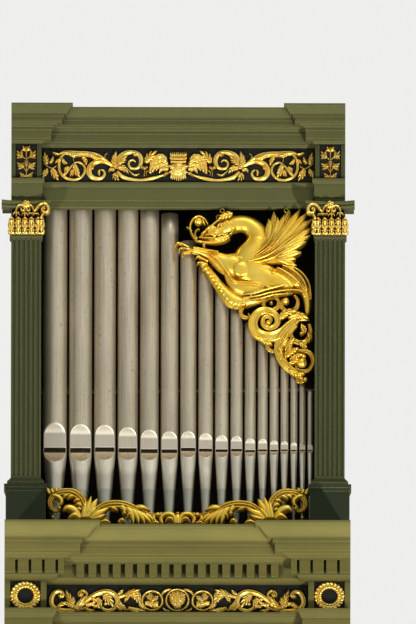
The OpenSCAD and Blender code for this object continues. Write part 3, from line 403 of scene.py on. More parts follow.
# %% Pipe metal
def organ_metal(name):
    """Planed tin alloy: fine streaks along the pipe, duller patches, a leathery lower lip, and feet painted
    lighter as painted light, with a darker lower part as painted shade.
    """
    material, t = new_material(name)
    streaks = noise(t, 6.0, 5.0, (34.0, 34.0, 0.7), 0.6)
    clouds = noise(t, 4.0, 4.0, (1.0, 1.0, 0.45))
    spots = noise(t, 42.0, 3.0)
    tone = (streaks * 0.6 + clouds * 0.4).ramp(0.35, 0.65)
    colour = blend(t, tone, (0.455, 0.388, 0.272), (0.665, 0.58, 0.435))
    stain = spots.ramp(0.60, 0.74) * 0.5
    colour = blend(t, stain, colour, (0.20, 0.17, 0.12))
    upper, lower, foot = (t.read("ShaderNodeAttribute", "Fac", attribute_name=part)
                          for part in ("upper_lip", "lower_lip", "foot"))
    # Painted light: the feet are lighter, for the light they catch.
    colour = blend(t, foot.ramp(0.02, 0.06), colour, blend(t, tone, (0.62, 0.57, 0.45), (0.84, 0.78, 0.63)))
    # Painted shade: the lower half of each foot is darker and greener.
    colour = blend(t, foot.ramp(0.47, 0.49) * 0.7, colour, (0.42, 0.44, 0.36))
    colour = blend(t, upper * 0.55, colour, (0.62, 0.57, 0.47))
    fibres = noise(t, 24.0, 4.0, (6.0, 6.0, 0.8))
    leather = blend(t, fibres.ramp(0.35, 0.65), (0.42, 0.27, 0.13), (0.64, 0.47, 0.27))
    colour = blend(t, lower * 0.85, colour, leather)
    roughness = (streaks * 0.14 + clouds * 0.12) + (lower * 0.3 + 0.29)
    surface(t, colour, roughness, bump(t, 0.12, 0.001, streaks), metallic=(lower * -0.6) + 0.78)
    return material


pipe_metal = organ_metal("pipe_metal")
# Painted shade: the languid inside each mouth is near black.
shadow_metal, dark = new_material("pipe_inside")
shaded_inside = blend(dark, noise(dark, 20.0).ramp(0.3, 0.7), (0.02, 0.019, 0.016), (0.045, 0.04, 0.034))
surface(dark, shaded_inside, 0.7, dark.add("ShaderNodeBump").outputs[0])
print("finishes:", [m.name for m in bpy.data.materials])

# %% [markdown]
# ## Paint on the joiner's pieces
# The boards and mouldings keep their meshes from the frame. The grain runs along x on level runs and
# along z on uprights, and the uprights and plinths are painted darker and bluer as painted shade.

# %% Paint the frame's own pieces
LEVEL = ["base_plinth", "pedestal_architrave", "dentil_course", "pedestal_cornice", "toe_board",
         "architrave", "main_cornice"]
PLINTHS = ["plinth_left", "plinth_right"]
UPRIGHT = ["pedestal_blocks", "pedestal_sides", "pilaster_left", "pilaster_right", "front_posts",
           "frieze_blocks", "side_wall_left", "side_wall_right"]
BLACK = ["pedestal_frieze_board", "frieze_board"]
RAW = ["roof_board", "back_wall", "floor_board", "pipe_rack"]


def coat(names, material):
    """One material for the meshes of these nodes."""
    for name in names:
        mesh = nodes[name].data
        mesh.materials.clear()
        mesh.materials.append(material)


coat(LEVEL, case_paint_level)
coat(UPRIGHT, case_paint_upright_shaded)
coat(PLINTHS, case_paint_plinth_shaded)
coat(BLACK, panel_paint)
coat(RAW, bare_wood)
print("painted", len(LEVEL + UPRIGHT + PLINTHS + BLACK + RAW), "pieces")

# %% Helpers for finished pieces
def corners(node):
    """The low and the high corner of a node's box."""
    return [Vector(corner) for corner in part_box(node)]


def finish_piece(built, slot, *replaced):
    """Every finished piece rides on the fixed body, and the node that it stands in for is hidden. `slot` is
    not used.
    """
    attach(built, "root")
    if replaced:
        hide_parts(*replaced)
    print(built.name, len(built.data.polygons), "faces")


def from_bmesh(name, work, material):
    """An object from a bmesh, which is freed."""
    mesh = bpy.data.meshes.new(name)
    work.to_mesh(mesh)
    work.free()
    mesh.materials.append(material)
    return new_object(name, mesh)


def close_rings(work, rings):
    """Faces between rings of points, with a cap on each end, all facing outwards."""
    made = []
    count = len(rings[0])
    for a, b in zip(rings[:-1], rings[1:]):
        for k in range(count):
            m = (k + 1) % count
            made.append(work.faces.new((a[k], a[m], b[m], b[k])))
    made += [work.faces.new(rings[0]), work.faces.new(rings[-1])]
    bmesh.ops.recalc_face_normals(work, faces=made)
    return made


# %% Black panels in the sunk fields of the blocks
PANEL_T = 0.002
PANEL_SINK = 0.012
SIDES = ((-1, "left"), (1, "right"))
FIELDS = {"pedestal_blocks": 0.034, "frieze_blocks": 0.024}


def sunk_panel(name, x0, x1, face, z0, z1):
    """A thin board on the bottom of a sunk field."""
    work = bmesh.new()
    bmesh.ops.create_cube(work, size=1.0)
    for v in work.verts:
        v.co = Vector((x0 if v.co.x < 0 else x1, face if v.co.y > 0 else face - PANEL_T,
                       z0 if v.co.z < 0 else z1))
    finish_piece(from_bmesh(name, work, panel_paint), "panel_paint")


PIER_X = sum(corner.x for corner in corners("pilaster_right")) / 2
for node, stile in FIELDS.items():
    low, high = corners(node)
    half = high.x - PIER_X - stile
    for side, label in SIDES:
        ends = sorted((side * (PIER_X - half), side * (PIER_X + half)))
        sunk_panel(f"{node}_panel_{label}", *ends, low.y + PANEL_SINK, low.z, high.z)

# %% [markdown]
# ## The front pipes
# A front pipe is one rule drawn at seventeen sizes: a cone for the foot, a tube for the body, and between
# them the mouth, where the maker presses a flat with a round head into the metal above and below a
# narrow slot. Geometry Nodes suit this. A flat grid is rolled up: its columns become angles, packed
# closer at the front, and its rows become heights, with a band of rows for each part. One `maximum` then
# presses the lips, because the flat simply cuts off what stands in front of it.

# %% A tree that rolls one pipe
COLUMNS = 72
BANDS = dict(foot=8, lower=14, slot=2, upper=22, body=10)
ROWS = sum(BANDS.values())
METAL_T = 0.002
LOWER_LIP_SHARE = 0.54
MOUTH_W_SHARE, CUT_UP_SHARE, LIP_SHARE = 0.92, 0.215, 0.98
# The close rows reach a little past the flats, and the flats blend into the round over a short way
LOWER_ROOM, UPPER_ROOM = 1.1, 1.06
FLAT_BLEND = 0.03
SLOT_W_SHARE = 0.97
SEAM = 0.0002


def new_tree(name, inputs):
    """An empty Geometry Nodes tree with named inputs, and those inputs as values."""
    group = bpy.data.node_groups.new(name, "GeometryNodeTree")
    group.interface.new_socket("Geometry", in_out="OUTPUT", socket_type="NodeSocketGeometry")
    for label, kind in inputs.items():
        group.interface.new_socket(label, in_out="INPUT", socket_type=kind)
    g = Tree(group)
    given = g.add("NodeGroupInput")
    return group, g, {label: g.value(given.outputs[label]) for label in inputs}


def close_tree(g, geometry, material):
    """Every tree ends alike: instances made real, one material, one output."""
    real = g.add("GeometryNodeRealizeInstances", {0: geometry})
    coated = g.add("GeometryNodeSetMaterial", {"Geometry": real.outputs[0], "Material": material})
    g.add("NodeGroupOutput", {0: coated.outputs[0]})


def run_tree(group, name, values, finish=None):
    """Runs a tree on an empty mesh and returns the result as a plain mesh object."""
    maker = new_object(name + "_maker", bpy.data.meshes.new(name))
    modifier = maker.modifiers.new("nodes", "NODES")
    modifier.node_group = group
    for item in group.interface.items_tree:
        if item.in_out == "INPUT":
            modifier[item.identifier] = values[item.name]
    if finish:
        finish(maker)
    bpy.context.view_layer.update()
    shape = maker.evaluated_get(bpy.context.evaluated_depsgraph_get())
    piece = new_object(name, bpy.data.meshes.new_from_object(shape))
    piece.data.name = name
    bpy.data.objects.remove(maker)
    return piece


def band_ends():
    """First and last share of the grid's rows for each band."""
    ends, row = {}, 0
    for part, count in BANDS.items():
        ends[part] = (row / ROWS, (row + count) / ROWS)
        row += count
    return ends


pipe_tree, g, size = new_tree("organ_pipe", {
    "Centre": "NodeSocketVector", "Radius": "NodeSocketFloat", "Foot": "NodeSocketFloat",
    "Body": "NodeSocketFloat", "Toe Share": "NodeSocketFloat"})
radius, foot, body = size["Radius"], size["Foot"], size["Body"]
half_mouth = radius * MOUTH_W_SHARE
cut_up = radius * (2 * CUT_UP_SHARE)
lip = radius * (2 * LIP_SHARE)
lower = radius * (2 * LOWER_LIP_SHARE)
lower_band, upper_band = lower * LOWER_ROOM, lip * UPPER_ROOM
lengths = {"foot": foot - lower_band, "lower": lower_band, "slot": cut_up, "upper": upper_band,
           "body": body - cut_up - upper_band}
grid = g.add("GeometryNodeMeshGrid", {"Size X": 1.0, "Size Y": 1.0, "Vertices X": COLUMNS + 1,
                                      "Vertices Y": ROWS + 1})
across, along, _ = g.split(g.add("GeometryNodeInputPosition").outputs[0])
turn = across * 2.0
angle = (turn * 0.5 + turn * turn * turn * 0.5) * math.pi
row = along + 0.5
height = -foot
for part, (start, end) in band_ends().items():
    height = height + row.ramp(start, end, 0.0, lengths[part])
round_r = radius * height.ramp(-foot, 0.0, size["Toe Share"], 1.0)
x = round_r * angle.math("SINE")
y_round = -(round_r * angle.math("COSINE"))
above = (height - cut_up - lip + half_mouth).math("MAXIMUM", 0.0)
below = (-height).math("MAXIMUM", 0.0) * half_mouth / lower
rise = above + below
y_flat = -((radius * radius - half_mouth * half_mouth + rise * rise).math("SQRT"))
y = y_round.math("MAXIMUM", y_flat)
pressed = ((y_flat - y_round) / (radius * FLAT_BLEND)).math("MINIMUM", 1.0).math("MAXIMUM", 0.0)
marked = grid.outputs["Mesh"]
# The foot share, from the mouth down to the toe, lets the metal paint light and shade on the feet.
for label, mask in (("upper_lip", pressed * height.ramp(0.0, 0.001)),
                    ("lower_lip", pressed * height.ramp(0.0, -0.001)), ("foot", -height / foot)):
    marked = g.add("GeometryNodeStoreNamedAttribute", {"Geometry": marked, "Name": label,
                                                       "Value": mask}).outputs[0]
rolled = g.add("GeometryNodeSetPosition", {"Geometry": marked, "Position": g.join(x, y, height)})
sx, sy, sz = g.split(g.add("GeometryNodeInputPosition").outputs[0])
in_slot = (sz.math("GREATER_THAN", 0.0) * sz.math("LESS_THAN", cut_up) * sy.math("LESS_THAN", 0.0)
           * sx.math("ABSOLUTE").math("LESS_THAN", half_mouth * SLOT_W_SHARE))
cut = g.add("GeometryNodeDeleteGeometry", {"Geometry": rolled.outputs[0], "Selection": in_slot},
            domain="FACE")
sewn = g.add("GeometryNodeMergeByDistance", {"Geometry": cut.outputs[0], "Distance": SEAM})
smooth = g.add("GeometryNodeSetShadeSmooth", {"Geometry": sewn.outputs[0]})
moved = g.add("GeometryNodeTransform", {"Geometry": smooth.outputs[0], "Translation": size["Centre"]})
close_tree(g, moved.outputs[0], pipe_metal)
print("pipe tree:", len(pipe_tree.nodes), "nodes,", COLUMNS * ROWS, "faces a pipe")


# %% Roll the seventeen pipes
TOE_SHARE = 0.38
LANGUID_SIDES = 48
FOOT_L = 0.492
# How far each mouth lies over or under the common line, in millimetres
MOUTH_OFFSET_MM = [0, -1, 4, 0, -5, -5, 6, 2, -1, 3, -3, 2, 0, 3, 1, 2, 3]


def add_languid(work, centre, r):
    """The plate inside a mouth, near black as painted shade, with its front edge just behind the flat."""
    front = math.sqrt(r * r - (r * MOUTH_W_SHARE) ** 2) - 3 * METAL_T
    loop = [((r - METAL_T) * math.sin(a), max(-(r - METAL_T) * math.cos(a), -front))
            for a in (2 * math.pi * k / LANGUID_SIDES for k in range(LANGUID_SIDES))]
    rims = [[work.verts.new((centre.x + px, centre.y + py, centre.z + up)) for px, py in loop]
            for up in (-2 * METAL_T, 0.0)]
    for face in close_rings(work, rims):
        face.material_index = 1


def thicken(maker):
    """Gives the rolled sheet its thickness, inwards."""
    solid = maker.modifiers.new("metal", "SOLIDIFY")
    solid.thickness = METAL_T
    solid.offset = -1
    solid.use_even_offset = False


def make_pipe(number):
    """One pipe in the box of its node, with its mouth on the common line but for its own offset."""
    node = f"pipe_{number:02d}"
    low, high = corners(node)
    r = (high.x - low.x) / 2
    nudge = MOUTH_OFFSET_MM[number - 1] * 0.001
    centre = Vector(((low.x + high.x) / 2, (low.y + high.y) / 2, low.z + FOOT_L + nudge))
    piece = run_tree(pipe_tree, node + "_rolled", {
        "Centre": tuple(centre), "Radius": r, "Foot": FOOT_L + nudge,
        "Body": high.z - centre.z, "Toe Share": TOE_SHARE}, thicken)
    piece.data.materials.append(shadow_metal)
    work = bmesh.new()
    work.from_mesh(piece.data)
    add_languid(work, centre, r)
    work.to_mesh(piece.data)
    work.free()
    finish_piece(piece, "pipe_metal", node)


for number in range(1, len(MOUTH_OFFSET_MM) + 1):
    make_pipe(number)

# %% [markdown]
# ## A carver's alphabet
# Baroque carving looks endless, but it is written with few letters: a tapering strip that follows a
# curve, with a round, hollow or grooved cross-section, and a boss. `Carving` collects such strokes. Each
# stroke is a closed solid with a flat back that lies on its board, so strokes may cross as real leaves do.
# Drawing them straight from the picture needs only a list of places and widths for each stroke; the curve
# through them is computed.

# %% Strokes and leaves
def smooth_path(points, per):
    """A smooth curve through the points; every column is carried along, so widths are smooth too."""
    p = np.array(points, float)
    p = np.vstack([2 * p[0] - p[1], p, 2 * p[-1] - p[-2]])
    out = []
    for a, b, c, d in zip(p[:-3], p[1:-2], p[2:-1], p[3:]):
        for t in np.arange(per) / per:
            out.append(((-a + 3 * b - 3 * c + d) * t ** 3 + (2 * a - 5 * b + 4 * c - d) * t ** 2
                        + (c - a) * t + 2 * b) / 2)
    return np.array(out + [p[-2]])


def rod(v):
    """How far a round stem swells out. v runs across the strip, from -1 to 1."""
    return np.sqrt(np.clip(1 - v * v, 0, 1))


def flat(v):
    return np.ones_like(v)


def hollow_stem(v):
    """A stem with a hollow face and rolled edges, as in a scroll."""
    rim = np.exp(-((np.abs(v) - 0.78) / 0.2) ** 2)
    return 0.5 + 0.5 * rim - 0.35 * np.abs(v) ** 8


def fluted(count):
    """A broad face with grooves along it."""
    def shape(v):
        folds = np.abs(np.cos(count * math.pi * v / 2)) ** 0.8
        return (0.55 + 0.45 * folds) * np.sqrt(np.clip(1 - 0.75 * v * v, 0, 1))
    return shape


def evenly(count):
    """Angles round a circle."""
    return np.linspace(0, 2 * math.pi, count, endpoint=False)


# One finger of a leaf: place along it in steps, distance out from the spine, and width
FINGER = [(-0.8, 0.06, 0.4), (0.1, 0.36, 1.0), (0.6, 0.74, 0.8), (1.1, 1.1, 0.1)]


class Carving:
    """Strokes of one carved piece on the upright plane y = back, standing out towards the front."""

    def __init__(self, back):
        self.back = back
        self.verts = []
        self.faces = []

    def solid(self, rings):
        """A closed solid through rings of points."""
        base, count = len(self.verts), len(rings[0])
        for ring in rings:
            self.verts.extend(tuple(float(c) for c in p) for p in ring)
        for i in range(len(rings) - 1):
            a, b = base + i * count, base + (i + 1) * count
            for j in range(count):
                k = (j + 1) % count
                self.faces.append((a + j, a + k, b + k, b + j))
        self.faces.append(tuple(range(base + count - 1, base - 1, -1)))
        last = base + (len(rings) - 1) * count
        self.faces.append(tuple(range(last, last + count)))

    def stroke(self, points, rise, shape=rod, lift=0.0, per=5, across=8, lean=0.0):
        """A strip through (x, z, width) points, `lift` off the board and leaning out at its tip."""
        path = smooth_path(points, per)
        spot, wide = path[:, :2], np.maximum(path[:, 2], 0.0004)
        run = np.gradient(spot, axis=0)
        run /= np.linalg.norm(run, axis=1, keepdims=True) + 1e-9
        aside = np.stack([-run[:, 1], run[:, 0]], 1)
        u = np.linspace(0, 1, len(path))[:, None]
        v = np.linspace(-1, 1, across + 1)[None, :]
        half = wide[:, None] / 2
        x = spot[:, :1] + aside[:, :1] * v * half
        z = spot[:, 1:] + aside[:, 1:] * v * half
        high = rise * np.sqrt(wide / wide.max())[:, None] * shape(v) + lift + lean * u ** 2
        y = self.back - np.maximum(high, 0.0006)
        rings = []
        for i in range(len(path)):
            front = np.stack([x[i], y[i], z[i]], 1)
            left = (x[i, 0], self.back, z[i, 0])
            right = (x[i, -1], self.back, z[i, -1])
            rings.append([left, *front, right])
        self.solid(rings)

    def leaf(self, spine, fingers, rise, lift=0.0, lean=0.0, start=0.12, plump=0.8):
        """A leaf of overlapping fingers. Each leaves the spine, runs along it, and bends out to a point."""
        line = smooth_path(spine, 8)
        run = np.gradient(line[:, :2], axis=0)
        run /= np.linalg.norm(run, axis=1, keepdims=True) + 1e-9
        length = np.linalg.norm(np.diff(line[:, :2], axis=0), axis=1).sum()
        share = np.linspace(0, 1, len(line))
        step = (0.92 - start) / (fingers + 0.6)

        def row(u, out, wide):
            x, z, rx, rz, w = (np.interp(min(max(u, 0), 1), share, column) for column in
                               (line[:, 0], line[:, 1], run[:, 0], run[:, 1], line[:, 2]))
            return x - rz * out * w / 2, z + rx * out * w / 2, wide

        thick = length * step * plump
        for k in reversed(range(fingers)):
            u = start + step * k
            for hand in (-1, 1):
                finger = [row(u + step * along, out * hand, thick * wide) for along, out, wide in FINGER]
                self.stroke(finger, rise * (0.8 + 0.04 * k), lift=lift + lean * u * u, per=3, across=6)
        top = start + step * fingers
        tip = [(top - step, 0.5), (top + step * 0.2, 1.1), (1, 0.12)]
        rib = [(0, 0.7), (top * 0.5, 0.5), (top, 0.2)]
        self.stroke([row(u, 0, thick * wide) for u, wide in tip], rise, lift=lift + lean, per=4, across=6)
        self.stroke([row(u, 0, thick * wide) for u, wide in rib], rise * 0.6,
                    lift=lift + rise * 0.55 + lean * 0.3, per=4, across=4)

    def boss(self, x, z, r, rise, lift=0.0, count=20, rows=5, petals=0, dent=0.0, tall=1.0):
        """A round knob, a flower if it has petals; dent sinks its middle."""
        rings = [[(x + r * math.cos(a), self.back, z + tall * r * math.sin(a)) for a in evenly(count)]]
        for k in range(rows + 1):
            q = math.pi / 2 * k / rows
            inner = dent * math.exp(-(math.cos(q) / 0.3) ** 2)
            ring = []
            for a in evenly(count):
                wave = 1 - (0.22 * (1 - abs(math.sin(petals * a / 2)) ** 0.7) if petals else 0)
                reach = r * max(math.cos(q), 0.04) * wave
                ring.append((x + reach * math.cos(a), self.back - lift - rise * (math.sin(q) - inner),
                             z + tall * reach * math.sin(a)))
            rings.append(ring)
        self.solid(rings)

    def turn_over(self):
        """Moves everything to the other side of the middle of the bay."""
        self.verts = [(-x, y, z) for x, y, z in self.verts]
        self.faces = [tuple(reversed(face)) for face in self.faces]

    def mirror(self):
        """Repeats everything on the other side of the middle of the bay."""
        base = len(self.verts)
        self.verts += [(-x, y, z) for x, y, z in self.verts]
        self.faces += [tuple(base + i for i in reversed(face)) for face in self.faces]

    def piece(self, name, material, voxel=0.0, rounds=0):
        """The strokes as one object; with a voxel size they are fused first and softened."""
        mesh = bpy.data.meshes.new(name)
        mesh.from_pydata(self.verts, [], self.faces)
        built = new_object(name, mesh)
        face_outwards(mesh)
        if voxel:
            fuse = built.modifiers.new("fuse", "REMESH")
            fuse.mode = "VOXEL"
            fuse.voxel_size = voxel
            soften = built.modifiers.new("soften", "SMOOTH")
            soften.factor = 0.5
            soften.iterations = rounds
            bpy.context.view_layer.update()
            shape = built.evaluated_get(bpy.context.evaluated_depsgraph_get())
            built.data = bpy.data.meshes.new_from_object(shape)
            built.modifiers.clear()
            drop_crumbs(built.data)
        built.data.materials.append(material)
        for face in built.data.polygons:
            face.use_smooth = True
        return built


def face_outwards(mesh):
    """Turns every face of a closed mesh to its outer side."""
    work = bmesh.new()
    work.from_mesh(mesh)
    bmesh.ops.recalc_face_normals(work, faces=work.faces)
    work.to_mesh(mesh)
    work.free()


def drop_crumbs(mesh, fewest=60):
    """Fusing can leave a bubble inside the body: loose bits with fewer points than this go."""
    work = bmesh.new()
    work.from_mesh(mesh)
    left, crumbs = set(work.verts), []
    while left:
        bit, front = [], [left.pop()]
        while front:
            vert = front.pop()
            bit.append(vert)
            near = {edge.other_vert(vert) for edge in vert.link_edges} & left
            left -= near
            front += near
        if len(bit) < fewest:
            crumbs += bit
    bmesh.ops.delete(work, geom=crumbs, context="VERTS")
    work.to_mesh(mesh)
    work.free()


class View:
    """An enlarged piece of the picture: its corner, its zoom, and the plane that its lines of sight meet."""

    def __init__(self, corner, zoom, plane):
        self.corner = corner
        self.zoom = zoom
        self.plane = plane

    def __call__(self, *rows):
        """Places and widths read in this view, as metres."""
        out = []
        for across, down, wide in rows:
            spot = on_plane(self.corner[0] + across / self.zoom, self.corner[1] + down / self.zoom,
                            self.plane)
            out.append((spot.x, spot.z, wide / self.zoom * PIXEL))
        return out


# Strokes narrower than this, in the pixels of a view, are ends that keep their width
THIN_END = 12


def draw(carving, view, lines, rise, shape=rod, widen=1.0, **how):
    """Each line of a table as a stroke; `widen` broadens all of it but its thin ends."""
    for line in lines:
        wider = [(across, down, wide * widen if wide > THIN_END else wide) for across, down, wide in line]
        carving.stroke(view(*wider), rise, shape, **how)


def draw_leaves(carving, view, table, rise, **how):
    """Each line of a table as a leaf with its own number of fingers."""
    for fingers, line in table:
        carving.leaf(view(*line), fingers, rise, **how)


def draw_bosses(carving, view, spots, rise, lift=0.0, **how):
    """Each place and radius of a table as a boss."""
    for spot in spots:
        (x, z, r), = view(spot)
        carving.boss(x, z, r, rise, lift, **how)


def hoop(x, z, r, wide, count=17):
    """The line of a ring, for a stroke."""
    return [(x + r * math.cos(a), z + r * math.sin(a), wide) for a in np.linspace(0, 2 * math.pi, count)]


# %% [markdown]
# ## The dragon of the pipe shade
# The beast is one heavy, soft form: neck, trunk and limbs flow into each other. Its strokes are therefore
# fused by a voxel remesh and softened, as gesso and gold soften a wooden carving. What is crisp, such as
# claws, feathers and scrolls, stays as separate strokes on top.

# %% Neck, trunk, head and limbs
SHADE_BACK = corners("pipe_shade")[1].y
SHADE_FACE = -0.02
beast_view = View((188, 200), 11.70, SHADE_FACE)
beast = Carving(SHADE_BACK)
LIMBS = {
    "neck": (0.062, [(440, 320, 190), (500, 285, 205), (580, 262, 212), (660, 262, 214), (735, 295, 230),
                     (800, 360, 256), (832, 450, 290), (820, 550, 380)]),
    "trunk": (0.072, [(832, 450, 280), (800, 560, 370), (750, 670, 440), (735, 780, 450), (830, 870, 400),
                      (960, 915, 330), (1110, 955, 250), (1240, 1000, 170)]),
    "belly": (0.050, [(440, 850, 50), (500, 930, 120), (600, 1010, 200), (740, 1040, 220), (900, 1030, 170),
                      (1060, 1020, 110)]),
    "muzzle": (0.056, [(500, 280, 215), (430, 325, 200), (360, 355, 165), (290, 380, 130), (215, 402, 84),
                       (150, 418, 44), (118, 420, 16)]),
    "jaw": (0.048, [(480, 425, 70), (420, 462, 72), (320, 484, 62), (210, 486, 50), (130, 474, 40),
                    (76, 458, 16)]),
    "foreleg": (0.060, [(640, 760, 330), (520, 745, 320), (430, 722, 262), (335, 674, 190), (240, 632, 116),
                        (150, 600, 84), (60, 580, 66), (-20, 560, 58)]),
    "hind leg": (0.052, [(180, 740, 70), (235, 810, 90), (300, 900, 112), (375, 1000, 132), (455, 1100, 172),
                         (540, 1170, 184), (650, 1182, 150), (780, 1160, 130), (920, 1118, 110),
                         (1070, 1080, 90), (1220, 1062, 60)]),
    "haunch": (0.046, [(1000, 850, 170), (1120, 880, 220), (1240, 930, 200), (1340, 1010, 150),
                       (1385, 1100, 110), (1402, 1200, 92), (1400, 1290, 70), (1385, 1345, 30)])}
for rise, line in LIMBS.values():
    draw(beast, beast_view, [line], rise, per=6, across=14)
SWELLINGS = [(620, 820, 92, 0.014, 0.062), (250, 335, 30, 0.012, 0.034), (180, 745, 40, 0.040, 0.0),
             (960, 870, 60, 0.006, 0.050), (10, 570, 40, 0.040, 0.0)]
for *spot, rise, lift in SWELLINGS:
    draw_bosses(beast, beast_view, [spot], rise, lift)
SKIN_FOLDS = [
    [(560, 660, 8), (600, 676, 18), (645, 712, 26), (710, 742, 30), (850, 706, 30), (960, 660, 14)],
    [(620, 1118, 10), (760, 1104, 30), (900, 1062, 34), (1040, 1026, 26), (1150, 1000, 10)],
    [(640, 1150, 10), (800, 1136, 24), (960, 1094, 26), (1150, 1066, 24), (1310, 1068, 22), (1350, 1120, 10)],
    [(720, 1180, 8), (860, 1160, 22), (1000, 1122, 22), (1160, 1104, 10)],
    [(1040, 795, 12), (1120, 836, 26), (1210, 896, 28), (1290, 966, 24), (1340, 1030, 10)],
    [(1100, 765, 10), (1190, 805, 24), (1280, 868, 26), (1350, 950, 24), (1392, 1045, 12)],
    [(1180, 775, 8), (1280, 820, 18), (1360, 890, 22), (1420, 1000, 20), (1445, 1150, 10)],
    [(1010, 850, 8), (1090, 890, 20), (1170, 945, 20), (1240, 1010, 10)],
    [(860, 776, 8), (925, 786, 22), (978, 820, 24), (992, 872, 10)],
    [(470, 900, 8), (540, 962, 18), (660, 972, 22), (800, 980, 22), (930, 1020, 18), (1010, 1040, 8)],
    [(250, 640, 10), (330, 700, 24), (400, 780, 26), (450, 850, 22), (480, 905, 10)],
    [(60, 560, 10), (160, 580, 20), (260, 600, 18), (360, 612, 10)]]
draw(beast, beast_view, SKIN_FOLDS, 0.014, lift=0.054, per=7)
FACE_FOLDS = [
    [(150, 400, 10), (195, 372, 24), (235, 330, 26), (285, 296, 24), (340, 250, 22), (400, 225, 10)],
    [(235, 390, 10), (262, 345, 26), (300, 318, 26), (330, 342, 22), (322, 392, 10)],
    [(200, 420, 10), (262, 404, 24), (310, 424, 22), (350, 400, 10)],
    [(340, 360, 10), (378, 330, 24), (412, 350, 20), (400, 396, 10)],
    [(350, 430, 10), (392, 402, 22), (436, 412, 22), (470, 380, 10)],
    [(160, 440, 10), (240, 446, 20), (330, 452, 20), (440, 440, 12)],
    [(430, 300, 10), (400, 280, 22), (360, 290, 22), (345, 312, 10)],
    [(500, 330, 8), (520, 360, 18), (505, 395, 18), (470, 410, 8)],
    [(540, 320, 6), (566, 350, 14), (560, 380, 6)]]
draw(beast, beast_view, FACE_FOLDS, 0.014, lift=0.042, per=6)
SCALY_EDGE = [(205, 800), (232, 840), (262, 882), (292, 925), (325, 968), (358, 1012), (390, 1052),
              (424, 1095), (458, 1140), (496, 1185), (540, 1212), (596, 1222), (652, 1218)]
SCALE_R = 26
draw_bosses(beast, beast_view, [(*spot, SCALE_R) for spot in SCALY_EDGE], 0.014, 0.036, count=12)
finish_piece(beast.piece("dragon_body", gilding, voxel=0.0036, rounds=3), "gilding", "pipe_shade")

# %% Wing, mane, claws and flame
wing = Carving(SHADE_BACK)
TIPS = [(930, 305), (943, 228), (1006, 140), (1050, 214), (1082, 262), (1126, 182), (1188, 128),
        (1214, 196), (1258, 196), (1308, 122), (1340, 190), (1400, 152), (1388, 240), (1456, 226),
        (1404, 312), (1462, 330), (1390, 388), (1432, 424), (1334, 452), (1388, 494), (1280, 540),
        (1326, 626), (1216, 606), (1262, 700), (1180, 668), (1270, 778), (1150, 728)]
# Each feather runs from the shoulder, past its place on a line of elbows, to its tip
for order, (across, down) in enumerate(TIPS):
    share = order / (len(TIPS) - 1)
    elbow = (900 + 150 * share, 545 + 175 * share)
    bulge = (elbow[0] * 0.30 + across * 0.70 + 24 - 44 * share,
             elbow[1] * 0.30 + down * 0.70 + 8 - 26 * share)
    above = 0.007 * (order % 2)
    wing.stroke(beast_view((710, 735, 16), (*elbow, 48), (*bulge, 92), (across, down, 10)), 0.018,
                lift=0.042 + above, per=7)
    wing.stroke(beast_view((*elbow, 8), (*bulge, 18), (across, down, 4)), 0.006,
                lift=0.057 + above, per=6, across=4)
WING_ARM = [(690, 740, 60), (770, 690, 170), (880, 610, 250), (990, 530, 280), (1090, 470, 240),
            (1170, 430, 120)]
draw(wing, beast_view, [WING_ARM], 0.026, fluted(11), lift=0.042, per=8, across=44)
QUILLS = [[(700, 735, 26), (850, 698, 34), (1000, 626, 30), (1130, 520, 26), (1270, 410, 18), (1380, 330, 8)],
          [(700, 745, 20), (880, 730, 26), (1020, 680, 22), (1140, 600, 14), (1220, 570, 6)],
          [(740, 680, 14), (900, 560, 26), (990, 420, 22), (1006, 260, 12), (1010, 170, 6)],
          [(780, 680, 14), (950, 560, 22), (1080, 400, 20), (1160, 250, 12), (1198, 160, 6)]]
draw(wing, beast_view, QUILLS, 0.016, lift=0.064, per=8)
CLAWS = [
    [(10, 548, 40), (-70, 508, 34), (-122, 500, 30), (-152, 552, 8)],
    [(20, 568, 40), (-58, 560, 30), (-98, 570, 26), (-106, 622, 8)],
    [(40, 592, 40), (-28, 606, 28), (-58, 622, 24), (-68, 668, 8)],
    [(230, 715, 44), (165, 678, 36), (118, 652, 26), (92, 682, 8)],
    [(225, 752, 40), (165, 728, 34), (125, 726, 24), (104, 752, 8)],
    [(245, 790, 36), (198, 792, 26), (172, 822, 8)]]
draw(wing, beast_view, CLAWS, 0.034, lift=0.010, lean=0.010)
MANE = (3, [(520, 165, 60), (460, 180, 80), (400, 205, 60), (350, 240, 16)])
BEARD = (3, [(480, 420, 40), (420, 445, 60), (350, 462, 40), (300, 470, 10)])
draw_leaves(wing, beast_view, [MANE], 0.018, lift=0.048)
draw_leaves(wing, beast_view, [BEARD], 0.014, lift=0.042)
CURLS = [
    [(352, 232, 12), (334, 205, 16), (342, 178, 16), (368, 172, 12), (380, 190, 6)],
    [(100, 455, 34), (52, 400, 28), (28, 330, 26), (32, 262, 28), (70, 206, 30), (130, 184, 34),
     (190, 212, 30), (226, 262, 22), (240, 288, 8)],
    [(108, 440, 20), (84, 400, 22), (90, 358, 22), (122, 334, 18), (134, 346, 8)],
    [(44, 352, 14), (12, 322, 18), (-18, 306, 8)], [(165, 205, 14), (182, 250, 30), (204, 292, 8)],
    [(184, 500, 40), (190, 556, 34)]]
draw(wing, beast_view, CURLS, 0.026, lift=0.014, per=7)
TEETH = [[(x, z - 14, 18), (x - 2, z + 4, 13), (x - 4, z + 18, 3)]
         for x, z in ((170, 436), (205, 440), (240, 444), (278, 446), (316, 446))]
draw(wing, beast_view, TEETH, 0.012, lift=0.034, per=4)
BALL, EYE, NOSTRIL = (125, 240, 54), (388, 306, 17), (180, 396, 10)
draw_bosses(wing, beast_view, [BALL], 0.034, 0.010)
draw_bosses(wing, beast_view, [EYE], 0.010, 0.056, dent=0.5)
draw_bosses(wing, beast_view, [NOSTRIL], 0.006, 0.044)
